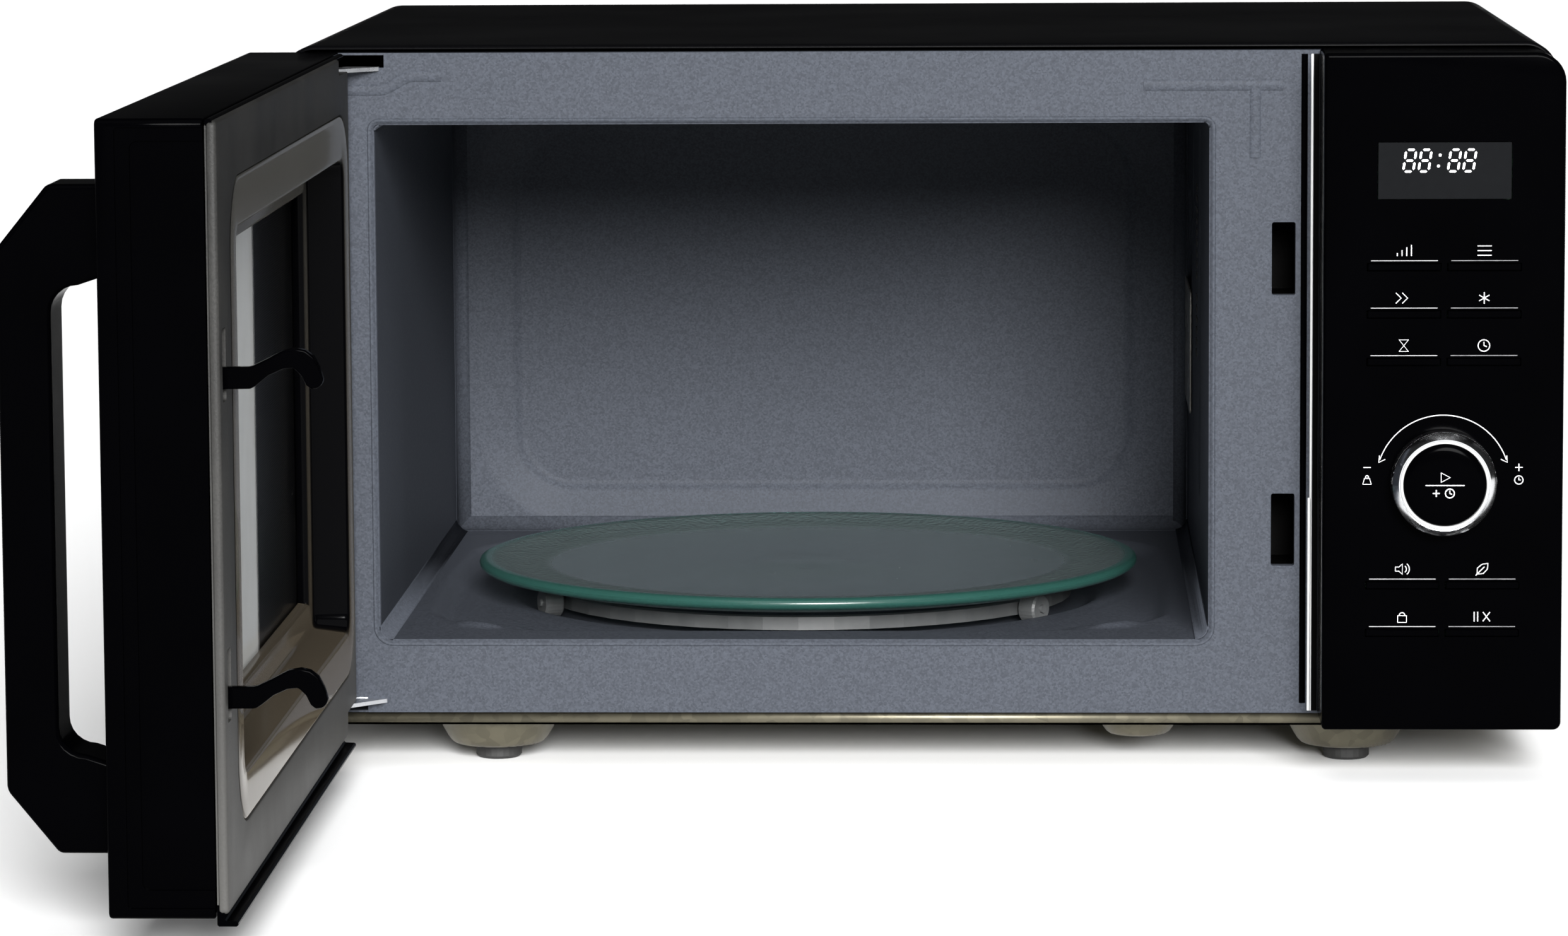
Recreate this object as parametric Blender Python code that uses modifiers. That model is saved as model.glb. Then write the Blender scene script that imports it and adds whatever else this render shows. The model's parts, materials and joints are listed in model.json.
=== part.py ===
"""A counter-top microwave oven, built as the assembly it is: cabinet, door, turntable and controls.

Frame: +X to the right of someone facing the oven, +Y to the rear, +Z up, in metres.
While it is built, X = 0 is the middle of the cabinet, Y = 0 the face of the front plate and
Z = 0 the surface that the feet stand on. The last step moves the whole oven so that its
origin is the bottom centre of its box. The door is modelled closed, and then swung open.
"""

import math

import bmesh
import bpy
from mathutils import Matrix, Vector

MM = 0.001

# Cabinet
CASE_WIDTH = 488 * MM
CASE_HEIGHT = 259 * MM
CASE_DEPTH = 338 * MM
CASE_CORNER = 12 * MM
STAND_HEIGHT = 22.5 * MM
SHEET = 0.8 * MM
GAP = 0.4 * MM
BASE_DROP = 5.5 * MM
BASE_SETBACK = 5 * MM
BASE_SIDE_WALL = 9 * MM
REAR_BOX_DEPTH = 12 * MM
REAR_BOX_WIDTH = 92 * MM
REAR_BOX_HEIGHT = 150 * MM

# Front plate
FRONT_BORDER = 2.4 * MM
FRONT_RETURN = 11 * MM
HINGE_NOTCH_WIDTH = 40 * MM
HINGE_NOTCH_HEIGHT = 9 * MM

# Cavity
CAVITY_SIDE = 34.6 * MM
CAVITY_SILL = 28.6 * MM
CAVITY_HEAD = 30.4 * MM
CAVITY_BACK = 5.5 * MM
LATCH_ZONE = 42 * MM
OPENING_CORNER = 5 * MM
TRACK_DEPTH = 8 * MM
TRACK_EDGE = 16 * MM

# Door and control panel, which stand in front of the front plate by the same amount
FRONT_PROUD = 40 * MM
CONTROL_WIDTH = 90.5 * MM
FRONT_TOP_GAP = 2 * MM
PANEL_DROP = 0.1 * MM
DOOR_DROP = 4 * MM
DOOR_GAP = 1.5 * MM
DOOR_SIDE_GAP = 1.2 * MM
DOOR_SEAL_GAP = 0.8 * MM
DOOR_WALL = 2.4 * MM
DOOR_OPEN_DEG = 90
COVER_THICK = 3.9 * MM
LIP_DROP = 2.6 * MM
LIP_REACH = 3 * MM
GLASS_THICK = 3.2 * MM
CHOKE_DEPTH = 20 * MM
WINDOW_DISH_DEPTH = 10 * MM

# Hinges
HINGE_X = 13 * MM
HINGE_Y = -14 * MM
HINGE_UPPER_INSET = 7.5 * MM
HINGE_LOWER_INSET = 8 * MM
HINGE_PIN_RADIUS = 2.4 * MM
HINGE_PIN_CLEARANCE = 0.1 * MM
HINGE_PIN_REACH = 3 * MM
SWING_CLEARANCE = 0.5 * MM
HINGE_PLATE = 1.5 * MM

# Handle
HANDLE_REACH = 35.5 * MM
HANDLE_BAR = 17.5 * MM
HANDLE_WIDTH = 26 * MM
HANDLE_INSET = 20 * MM
HANDLE_TOP = 22.5 * MM
HANDLE_BOTTOM = 18 * MM
HANDLE_ARM = 33 * MM
HANDLE_CHAMFER_Y = 17 * MM
HANDLE_CHAMFER_Z = 21 * MM

# Latch
LATCH_THICK = 4 * MM
LATCH_SLOT_WIDTH = 9 * MM
LATCH_SLOT_HEIGHT = 28 * MM
LATCH_SLOT_FROM_EDGE = 12 * MM
LATCH_REACH = 32.5 * MM
LATCH_BAR = 9 * MM
HOOK_DROP = 8 * MM
# One hook's outline, in millimetres past the door's cover and above the arm's underside
HOOK_OUTLINE = (
    (0, -0.2), (8.5, 0.4), (12, 4), (18, 6.5), (22, 7.2), (25, 4.2), (27.2, 0.3), (28.5, 0),
    (31.5, 1.2), (32.5, 3), (28, 11.7), (24.4, 13.5), (19, 12.6), (8.6, 7.6), (0, 7.2),
)  # fmt: skip
UPPER_SLOT_FROM_TOP = 68.7 * MM
LOWER_SLOT_FROM_BASE = 71.5 * MM

# Turntable
TRAY_MARGIN = 24.8 * MM
TRAY_THICK = 4 * MM
TRAY_RIM_RISE = 7.4 * MM
ROLLER_RADIUS = 6 * MM
ROLLER_WIDTH = 8 * MM
ROLLER_AXLE_RADIUS = 1.6 * MM
ROLLER_INSET = 22 * MM
COUPLER_RADIUS = 17 * MM
MOTOR_RADIUS = 24.5 * MM
MOTOR_HEIGHT = 14 * MM

# Controls: each row's height and the free space above it, from the top of the panel down
DISPLAY_WIDTH = 50.5 * MM
BUTTON_WIDTH = 27.5 * MM
BUTTON_HEIGHT = 2.6 * MM
BUTTON_PITCH_X = 30.1 * MM
BUTTON_PROUD = 0.8 * MM
BUTTON_TRAVEL = 1.0 * MM
KNOB_RADIUS = 20 * MM
KNOB_PROUD = 13 * MM
START_RADIUS = 16.6 * MM
PANEL_WALL = 2.2 * MM
PANEL_ROWS = (
    ("display", 21.9 * MM, 33.2 * MM),
    ("row_1", BUTTON_HEIGHT, 24.1 * MM),
    ("row_2", BUTTON_HEIGHT, 15.3 * MM),
    ("row_3", BUTTON_HEIGHT, 15.4 * MM),
    ("knob", 2 * KNOB_RADIUS, 24.1 * MM),
    ("row_4", BUTTON_HEIGHT, 18.4 * MM),
    ("row_5", BUTTON_HEIGHT, 15.6 * MM),
)
PANEL_BOTTOM_SPACE = 36.1 * MM

# Inner works
DUCT_WIDTH = 26 * MM
DUCT_LENGTH = 138 * MM
DUCT_HEIGHT = 52 * MM
MICA_LENGTH = 80 * MM
MICA_RISE = 86 * MM
FAN_FRAME = 92 * MM
FAN_DEPTH = 30 * MM
FAN_MOTOR_DEPTH = 24 * MM

# Feet and base bosses
FOOT_RADIUS = 9 * MM
FOOT_INSET_X = 77.5 * MM
FOOT_INSET_Y = 33 * MM
BOSS_TOP_RADIUS = 25 * MM
BOSS_BOTTOM_RADIUS = 17 * MM
BOSS_SLOPE = 11 * MM

# Places worked out from the sizes above
LEFT = -CASE_WIDTH / 2
RIGHT = CASE_WIDTH / 2
BASE = STAND_HEIGHT
TOP = BASE + CASE_HEIGHT
CAVITY_LEFT = LEFT + CAVITY_SIDE
CAVITY_RIGHT = RIGHT - CONTROL_WIDTH - LATCH_ZONE
CAVITY_FLOOR = BASE + CAVITY_SILL
CAVITY_TOP = TOP - CAVITY_HEAD
CAVITY_REAR = CASE_DEPTH - CAVITY_BACK
CAVITY_MIDDLE = (CAVITY_LEFT + CAVITY_RIGHT) / 2
BAY_LEFT = CAVITY_RIGHT + SHEET + GAP
TRACK_FLOOR = CAVITY_FLOOR - TRACK_DEPTH
TRAY_RADIUS = min(CAVITY_RIGHT - CAVITY_LEFT, CAVITY_REAR) / 2 - TRAY_MARGIN
TURN_CENTRE = Vector((CAVITY_MIDDLE, CAVITY_REAR / 2 - 3 * MM, 0))
TRAY_BOTTOM = TRACK_FLOOR + 2 * ROLLER_RADIUS + GAP
TRACK_RADIUS = TRAY_RADIUS - TRACK_EDGE
ROLLER_CIRCLE = TRAY_RADIUS - ROLLER_INSET
PANEL_LEFT = RIGHT - CONTROL_WIDTH
PANEL_MIDDLE = (PANEL_LEFT + RIGHT) / 2
FRONT_TOP = TOP - FRONT_TOP_GAP
PANEL_BOTTOM = BASE - PANEL_DROP
DOOR_BOTTOM = BASE - DOOR_DROP
DOOR_LEFT = LEFT + DOOR_SIDE_GAP
DOOR_RIGHT = PANEL_LEFT - DOOR_GAP
COVER_BACK = -DOOR_SEAL_GAP
COVER_FRONT = COVER_BACK - COVER_THICK
FRAME_BACK = COVER_FRONT - GAP
HINGE = Vector((LEFT + HINGE_X, HINGE_Y, 0))
HINGE_TOP = FRONT_TOP - HINGE_UPPER_INSET
HINGE_BOTTOM = DOOR_BOTTOM + HINGE_LOWER_INSET
SLOT_X = DOOR_RIGHT - LATCH_SLOT_FROM_EDGE
SLOT_HEIGHTS = (TOP - UPPER_SLOT_FROM_TOP - LATCH_SLOT_HEIGHT / 2, BASE + LOWER_SLOT_FROM_BASE)
DUCT_MIDDLE = BASE + CAVITY_SILL + MICA_RISE
REAR_FACE = CASE_DEPTH - SHEET - GAP
BASE_FLOOR = BASE - BASE_DROP

PARTS = "microwave_oven"
CUTTERS = "cutters"


# ---- Finishes ----

FINISHES = {
    "case_black": ((0.006, 0.006, 0.007), 0.22, 0.0),
    "gloss_black": ((0.004, 0.004, 0.005), 0.12, 0.0),
    "textured_black": ((0.012, 0.012, 0.013), 0.6, 0.0),
    "cavity_grey": ((0.13, 0.15, 0.18), 0.42, 0.3),
    "galvanised": ((0.42, 0.41, 0.35), 0.42, 0.9),
    "zinc": ((0.72, 0.73, 0.75), 0.25, 1.0),
    "laminations": ((0.09, 0.09, 0.10), 0.5, 0.7),
    "copper_coil": ((0.55, 0.20, 0.08), 0.35, 0.9),
    "clear_glass": ((0.55, 0.68, 0.62), 0.05, 0.0),
    "dark_glass": ((0.01, 0.01, 0.012), 0.06, 0.0),
    "display": ((0.02, 0.021, 0.023), 0.15, 0.0),
    "chrome": ((0.80, 0.81, 0.83), 0.12, 1.0),
    "pale_plastic": ((0.62, 0.63, 0.62), 0.45, 0.0),
    "white_plastic": ((0.75, 0.74, 0.70), 0.5, 0.0),
    "mica": ((0.32, 0.29, 0.24), 0.55, 0.0),
    "board_green": ((0.03, 0.16, 0.07), 0.5, 0.0),
    "spring_steel": ((0.55, 0.55, 0.56), 0.3, 1.0),
    "foot_rubber": ((0.010, 0.010, 0.010), 0.8, 0.0),
    "aluminium": ((0.66, 0.67, 0.68), 0.35, 1.0),
}


def finish(name):
    made = bpy.data.materials.get(name)
    if made:
        return made
    colour, roughness, metallic = FINISHES[name]
    made = bpy.data.materials.new(name)
    made.use_nodes = True
    shader = made.node_tree.nodes["Principled BSDF"]
    shader.inputs["Base Color"].default_value = (*colour, 1)
    shader.inputs["Roughness"].default_value = roughness
    shader.inputs["Metallic"].default_value = metallic
    made.diffuse_color = (*colour, 1)
    return made


# ---- Modelling helpers ----


def clear_scene():
    for old in list(bpy.data.objects):
        bpy.data.objects.remove(old, do_unlink=True)
    for name in (PARTS, CUTTERS):
        bpy.context.scene.collection.children.link(bpy.data.collections.new(name))


def pivot(name, place, parent=None):
    """An empty on a joint's axis. What hangs from it is modelled where it is, and turns with it."""
    empty = bpy.data.objects.new(name, None)
    empty.location = place
    empty.empty_display_size = 0.02
    bpy.data.collections[PARTS].objects.link(empty)
    hang(empty, parent)
    return empty


def hang(piece, parent):
    if parent:
        piece.parent = parent
        piece.matrix_parent_inverse = Matrix.Translation(-parent.location)


def piece_of(name, mesh, material, place=(0, 0, 0), parent=None):
    made = bpy.data.objects.new(name, mesh)
    made.location = place
    mesh.materials.append(finish(material))
    bpy.data.collections[PARTS].objects.link(made)
    hang(made, parent)
    return made


def shade(piece, degrees=35):
    piece.data.shade_smooth()
    piece.data.set_sharp_from_angle(angle=math.radians(degrees))


def block(name, low, high, material="textured_black", parent=None):
    """A box between two corners, with its origin at its centre."""
    low = Vector(low)
    high = Vector(high)
    mesh = bpy.data.meshes.new(name)
    build = bmesh.new()
    bmesh.ops.create_cube(build, size=1, matrix=Matrix.Diagonal((*(high - low), 1)))
    build.to_mesh(mesh)
    build.free()
    return piece_of(name, mesh, material, (low + high) / 2, parent)


def rod(name, radius, start, end, material="zinc", parent=None, segments=24, end_radius=None):
    """A round bar or a cone between two points."""
    start = Vector(start)
    end = Vector(end)
    along = end - start
    mesh = bpy.data.meshes.new(name)
    build = bmesh.new()
    bmesh.ops.create_cone(
        build,
        cap_ends=True,
        segments=segments,
        radius1=radius,
        radius2=radius if end_radius is None else end_radius,
        depth=along.length,
    )
    build.to_mesh(mesh)
    build.free()
    made = piece_of(name, mesh, material, (start + end) / 2, parent)
    made.rotation_mode = "QUATERNION"
    made.rotation_quaternion = Vector((0, 0, 1)).rotation_difference(along)
    shade(made)
    return made


def turned(name, profile, place, material, parent=None, along="Z", steps=32):
    """A profile of (radius, height) points, top to bottom, turned about an axis through place."""
    mesh = bpy.data.meshes.new(name)
    mesh.from_pydata(
        [(radius, 0, height) for radius, height in profile],
        [(i, i + 1) for i in range(len(profile) - 1)],
        [],
    )
    made = piece_of(name, mesh, material, place, parent)
    if along == "Y":
        made.rotation_euler.x = math.radians(90)
    screw = made.modifiers.new("turn", "SCREW")
    screw.steps = steps
    screw.render_steps = steps
    screw.use_merge_vertices = True
    screw.merge_threshold = 0.00001
    screw.use_smooth_shade = True
    return made


def arc(centre, radius, start_deg, end_deg, steps=4):
    """Points on an arc, both ends included."""
    points = []
    for i in range(steps + 1):
        angle = math.radians(start_deg + (end_deg - start_deg) * i / steps)
        points.append((centre[0] + radius * math.cos(angle), centre[1] + radius * math.sin(angle)))
    return points


def rounded(low, high, radii, steps=4):
    """A rectangle's outline. The radii are those of its lower left, lower right, upper right and upper left."""
    if not isinstance(radii, tuple):
        radii = (radii,) * 4
    corners = ((low[0], low[1]), (high[0], low[1]), (high[0], high[1]), (low[0], high[1]))
    inward = ((1, 1), (-1, 1), (-1, -1), (1, -1))
    points = []
    for i, (corner, side, radius) in enumerate(zip(corners, inward, radii)):
        centre = (corner[0] + side[0] * radius, corner[1] + side[1] * radius)
        if radius:
            points += arc(centre, radius, 180 + 90 * i, 270 + 90 * i, steps)
        else:
            points.append(corner)
    return points


def slab(name, outlines, near, far, material="textured_black", parent=None, facing="Y"):
    """Flat outlines, holes included, extruded from near to far. Facing Y they lie in X and Z,
    facing X in Y and Z, and facing Z in X and Y."""
    curve = bpy.data.curves.new(name, "CURVE")
    curve.dimensions = "2D"
    curve.fill_mode = "BOTH"
    curve.extrude = abs(far - near) / 2
    for outline in outlines:
        spline = curve.splines.new("POLY")
        spline.points.add(len(outline) - 1)
        for point, (across, up) in zip(spline.points, outline):
            point.co = (across, up, 0, 1)
        spline.use_cyclic_u = True
    drawn = bpy.data.objects.new(name + "_outline", curve)
    middle = (near + far) / 2
    bpy.context.scene.collection.objects.link(drawn)
    mesh = bpy.data.meshes.new_from_object(drawn.evaluated_get(bpy.context.evaluated_depsgraph_get()))
    bpy.data.objects.remove(drawn)
    bpy.data.curves.remove(curve)
    build = bmesh.new()
    build.from_mesh(mesh)
    bmesh.ops.remove_doubles(build, verts=build.verts, dist=0.00001)
    bmesh.ops.dissolve_limit(build, angle_limit=math.radians(0.1), verts=build.verts, edges=build.edges)
    bmesh.ops.recalc_face_normals(build, faces=build.faces)
    build.to_mesh(mesh)
    build.free()
    mesh.name = name
    mesh.materials.clear()
    turn = {
        "Z": Matrix.Translation((0, 0, middle)),
        "Y": Matrix.Translation((0, middle, 0)) @ Matrix.Rotation(math.radians(90), 4, "X"),
        "X": Matrix.Translation((middle, 0, 0)) @ Matrix(((0, 0, 1, 0), (1, 0, 0, 0), (0, 1, 0, 0), (0, 0, 0, 1))),
    }[facing]
    mesh.transform(turn)
    return piece_of(name, mesh, material, (0, 0, 0), parent)


def combine(piece, other, operation):
    """Cuts or joins with a helper, which is hidden and kept with the cutters."""
    other.name = f"{piece.name}_{operation.lower()}"
    bpy.data.collections[PARTS].objects.unlink(other)
    bpy.data.collections[CUTTERS].objects.link(other)
    other.hide_render = True
    other.display_type = "WIRE"
    step = piece.modifiers.new(operation.lower(), "BOOLEAN")
    step.operation = operation
    step.object = other
    return piece


def cut(piece, *others):
    for other in others:
        combine(piece, other, "DIFFERENCE")
    return piece


def join(piece, *others):
    for other in others:
        combine(piece, other, "UNION")
    return piece


def soften(piece, width, segments=2, degrees=40):
    step = piece.modifiers.new("soft_edges", "BEVEL")
    step.width = width
    step.segments = segments
    step.limit_method = "ANGLE"
    step.angle_limit = math.radians(degrees)
    return piece


def middle_of(low, high):
    return (low + high) / 2


# ---- Cabinet ----


def outer_case(parent):
    """The folded wrapper: two sides and the top, from one sheet."""
    reach = CASE_CORNER
    outside = [(LEFT, BASE)]
    outside += arc((LEFT + reach, TOP - reach), reach, 180, 90, 6)
    outside += arc((RIGHT - reach, TOP - reach), reach, 90, 0, 6)
    outside += [(RIGHT, BASE)]
    mesh = bpy.data.meshes.new("outer_case")
    count = len(outside)
    points = [(x, y, z) for y in (GAP, CASE_DEPTH) for x, z in outside]
    faces = [(i, i + 1, count + i + 1, count + i) for i in range(count - 1)]
    mesh.from_pydata(points, [], faces)
    case = piece_of("outer_case", mesh, "case_black", parent=parent)
    wall = case.modifiers.new("sheet", "SOLIDIFY")
    wall.thickness = SHEET
    wall.offset = -1
    wall.use_even_offset = True
    slot_count = 9
    for i in range(slot_count):
        z = TOP - 60 * MM - i * 7 * MM
        low = (RIGHT - 4 * MM, CASE_DEPTH - 105 * MM, z)
        high = (RIGHT + 4 * MM, CASE_DEPTH - 45 * MM, z + 3 * MM)
        cut(case, block("vent", low, high, parent=parent))
    return case


def front_plate(parent):
    """The painted pan around the oven's mouth, with the latch slots and the hinge notches."""
    low = (LEFT + FRONT_BORDER, BASE)
    high = (RIGHT - FRONT_BORDER, TOP - FRONT_BORDER - 0.3 * MM)
    corner = CASE_CORNER - FRONT_BORDER
    outline = rounded(low, high, (0, 0, corner, corner))
    plate = slab("front_plate", [outline], 0, FRONT_RETURN, "cavity_grey", parent)
    inner_low = (low[0] + SHEET, low[1] + SHEET)
    inner_high = (high[0] - SHEET, high[1] - SHEET)
    inside = rounded(inner_low, inner_high, (0, 0, corner - SHEET, corner - SHEET))
    mouth = rounded((CAVITY_LEFT, CAVITY_FLOOR), (CAVITY_RIGHT, CAVITY_TOP), OPENING_CORNER)
    cut(plate, slab("inside", [inside], SHEET, FRONT_RETURN + 1 * MM, parent=parent))
    cut(plate, slab("mouth", [mouth], -2 * MM, FRONT_RETURN + 2 * MM, parent=parent))
    for z in SLOT_HEIGHTS:
        slot = rounded(
            (SLOT_X - LATCH_SLOT_WIDTH / 2, z - LATCH_SLOT_HEIGHT / 2),
            (SLOT_X + LATCH_SLOT_WIDTH / 2, z + LATCH_SLOT_HEIGHT / 2),
            1 * MM,
            2,
        )
        cut(plate, slab("slot", [slot], -2 * MM, FRONT_RETURN, parent=parent))
    window_low = (PANEL_LEFT + 6 * MM, -2 * MM, BASE + 12 * MM)
    window_high = (RIGHT - 8 * MM, 4 * MM, TOP - 14 * MM)
    cut(plate, block("panel_window", window_low, window_high, parent=parent))
    for z_low, z_high in (
        (high[1] - HINGE_NOTCH_HEIGHT, TOP),
        (BASE - 1 * MM, HINGE_BOTTOM + HINGE_PLATE + 1.5 * MM),
    ):
        notch_low = (LEFT, -2 * MM, z_low)
        notch_high = (LEFT + HINGE_NOTCH_WIDTH, SHEET + 0.6 * MM, z_high)
        cut(plate, block("notch", notch_low, notch_high, parent=parent))
    return plate


def vent_holes(parent):
    """The columns of air holes in the cavity's right wall, as one group of cutters."""
    pitch = 4.4 * MM
    top = CAVITY_FLOOR + 163 * MM
    holes = []
    for row in range(16):
        if row == 9:
            continue
        z = top - row * pitch
        if z < CAVITY_FLOOR + 20 * MM:
            continue
        start = (CAVITY_RIGHT - 3 * MM, 108 * MM, z)
        end = (CAVITY_RIGHT + 3 * MM, 108 * MM, z)
        holes.append(rod("vent", 1.3 * MM, start, end, parent=parent, segments=6))
    return holes


def cavity_liner(parent):
    """The welded box that the food goes in, with the roller track pressed into its floor."""
    front = SHEET + GAP
    low = (CAVITY_LEFT - SHEET, CAVITY_FLOOR - SHEET)
    high = (CAVITY_RIGHT + SHEET, CAVITY_TOP + SHEET)
    outline = rounded(low, high, OPENING_CORNER + SHEET)
    liner = slab("cavity_liner", [outline], front, CAVITY_REAR + SHEET, "cavity_grey", parent)
    floor = TURN_CENTRE + Vector((0, 0, TRACK_FLOOR - SHEET))
    upper = TURN_CENTRE + Vector((0, 0, CAVITY_FLOOR + 1 * MM))
    join(liner, rod("track", TRACK_RADIUS + SHEET, floor, upper, parent=parent, segments=48))
    inner = rounded((CAVITY_LEFT, CAVITY_FLOOR), (CAVITY_RIGHT, CAVITY_TOP), OPENING_CORNER)
    cut(liner, slab("inside", [inner], -2 * MM, CAVITY_REAR, parent=parent))
    floor = TURN_CENTRE + Vector((0, 0, TRACK_FLOOR))
    upper = TURN_CENTRE + Vector((0, 0, CAVITY_FLOOR + 4 * MM))
    cut(liner, rod("track_inside", TRACK_RADIUS, floor, upper, parent=parent, segments=48))
    below = TURN_CENTRE + Vector((0, 0, TRACK_FLOOR - 5 * MM))
    cut(liner, rod("shaft_hole", 6 * MM, below, upper, parent=parent))
    wave_low, wave_high = wave_window()
    cut(liner, block("wave_window", wave_low, wave_high, parent=parent))
    cut(liner, *vent_holes(parent))
    return liner


def wave_window():
    """The corners of the hole that the microwaves come through, in the cavity's right wall."""
    rear = CAVITY_REAR - 16 * MM
    low = (CAVITY_RIGHT - 3 * MM, rear - MICA_LENGTH + 16 * MM, DUCT_MIDDLE - 18 * MM)
    high = (CAVITY_RIGHT + 3 * MM, rear, DUCT_MIDDLE + 18 * MM)
    return low, high


def mica_cover(parent):
    """The mica sheet over the wave window, inside the cavity."""
    rear = CAVITY_REAR - 8 * MM
    outline = rounded((rear - MICA_LENGTH, DUCT_MIDDLE - 26 * MM), (rear, DUCT_MIDDLE + 26 * MM), 3 * MM, 2)
    near = CAVITY_RIGHT - GAP - 0.6 * MM
    return slab("mica_cover", [outline], near, CAVITY_RIGHT - GAP, "mica", parent, "X")


def foot_places():
    xs = (LEFT + FOOT_INSET_X, RIGHT - FOOT_INSET_X)
    ys = (FOOT_INSET_Y, CASE_DEPTH - FOOT_INSET_Y)
    names = (("front_left", "front_right"), ("rear_left", "rear_right"))
    return {names[j][i]: Vector((xs[i], ys[j], 0)) for j in range(2) for i in range(2)}


def base_plate(parent):
    """The zinc-coated pan under the works, with a pressed boss for each foot and one more in front."""
    side = LEFT + SHEET + GAP
    rear = REAR_FACE - SHEET - GAP
    low = (side, BASE_SETBACK, BASE_FLOOR)
    plate = block("base_plate", low, (-side, rear, BASE + BASE_SIDE_WALL), "galvanised", parent)
    bosses = [(place, BOSS_TOP_RADIUS, BOSS_BOTTOM_RADIUS, BOSS_SLOPE) for place in foot_places().values()]
    middle = Vector((RIGHT - 159 * MM, FOOT_INSET_Y, 0))
    bosses.append((middle, 17 * MM, 10 * MM, 7 * MM))
    for place, wide, narrow, drop in bosses:
        start = place + Vector((0, 0, BASE_FLOOR + 0.4 * MM))
        end = place + Vector((0, 0, BASE_FLOOR - drop))
        join(plate, rod("boss", wide, start, end, parent=parent, segments=32, end_radius=narrow))
    inside_low = (side + SHEET, BASE_SETBACK + SHEET, BASE_FLOOR + SHEET)
    inside_high = (-side - SHEET, rear - SHEET, BASE + BASE_SIDE_WALL + 1 * MM)
    cut(plate, block("inside", inside_low, inside_high, parent=parent))
    front_low = (side - 1 * MM, 0, BASE - GAP)
    front_high = (-side + 1 * MM, FRONT_RETURN + GAP, TOP)
    cut(plate, block("front_edge", front_low, front_high, parent=parent))
    for place, wide, narrow, drop in bosses:
        start = place + Vector((0, 0, BASE_FLOOR + 1.5 * MM))
        end = place + Vector((0, 0, BASE_FLOOR - drop + SHEET))
        inner = rod("boss_inside", wide - SHEET, start, end, parent=parent, segments=32, end_radius=narrow - SHEET)
        cut(plate, inner)
    for place in foot_places().values():
        start = place + Vector((0, 0, BASE_FLOOR))
        end = place + Vector((0, 0, BASE_FLOOR - BOSS_SLOPE - 2 * MM))
        cut(plate, rod("foot_hole", 4 * MM, start, end, parent=parent, segments=16))
    return plate


def feet(parent):
    """Four rubber feet, each with a stem that snaps into its boss."""
    top = BASE_FLOOR - BOSS_SLOPE - GAP
    profile = (
        (0, top + 5 * MM),
        (3.6 * MM, top + 5 * MM),
        (3.6 * MM, top),
        (FOOT_RADIUS, top),
        (FOOT_RADIUS, 1 * MM),
        (FOOT_RADIUS - 1 * MM, 0),
        (0, 0),
    )
    for name, place in foot_places().items():
        turned(f"foot_{name}", profile, place, "foot_rubber", parent, steps=24)


def rear_panel(parent):
    """The back of the cabinet, with a louvred box that keeps it off the wall."""
    side = LEFT + SHEET + GAP
    outline = rounded((side, BASE + GAP), (-side, TOP - SHEET - GAP), (0, 0, CASE_CORNER, CASE_CORNER))
    panel = slab("rear_panel", [outline], REAR_FACE - SHEET, REAR_FACE, "case_black", parent)
    low = (RIGHT - 14 * MM - REAR_BOX_WIDTH, DUCT_MIDDLE - REAR_BOX_HEIGHT / 2)
    high = (RIGHT - 14 * MM, DUCT_MIDDLE + REAR_BOX_HEIGHT / 2)
    back = REAR_FACE + REAR_BOX_DEPTH
    corner = 6 * MM
    box = rounded(low, high, corner)
    join(panel, slab("box", [box], REAR_FACE - SHEET / 2, back, parent=parent))
    inner_low = (low[0] + SHEET, low[1] + SHEET)
    inner_high = (high[0] - SHEET, high[1] - SHEET)
    inside = rounded(inner_low, inner_high, corner - SHEET)
    cut(panel, slab("box_inside", [inside], REAR_FACE - 3 * MM, back - SHEET, parent=parent))
    slots = 12
    for i in range(slots):
        z = low[1] + 12 * MM + i * (REAR_BOX_HEIGHT - 27 * MM) / (slots - 1)
        start = (low[0] + 14 * MM, back - 4 * MM, z)
        end = (high[0] - 14 * MM, back + 4 * MM, z + 3.2 * MM)
        cut(panel, block("louvre", start, end, parent=parent))
    before = gland_place() - Vector((0, 4 * MM, 0))
    behind = gland_place() + Vector((0, 4 * MM, 0))
    cut(panel, rod("gland_hole", 7.4 * MM, before, behind, parent=parent))
    return panel


def gland_place():
    """Where the supply cord goes through the rear panel, just over the base plate's side wall."""
    return Vector((RIGHT - 42 * MM, REAR_FACE, BASE + BASE_SIDE_WALL + 11 * MM))


def cord_gland(parent):
    """The grommet where the supply cord goes in."""
    profile = (
        (3.6 * MM, 13 * MM),
        (5.5 * MM, 13 * MM),
        (9.5 * MM, 3 * MM),
        (9.5 * MM, GAP),
        (7 * MM, GAP),
        (7 * MM, -SHEET - 3 * MM),
        (3.6 * MM, -SHEET - 3 * MM),
        (3.6 * MM, 13 * MM),
    )
    gland = turned("cord_gland", profile, gland_place(), "textured_black", parent, steps=24)
    gland.rotation_euler.x = math.radians(-90)
    return gland


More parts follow.
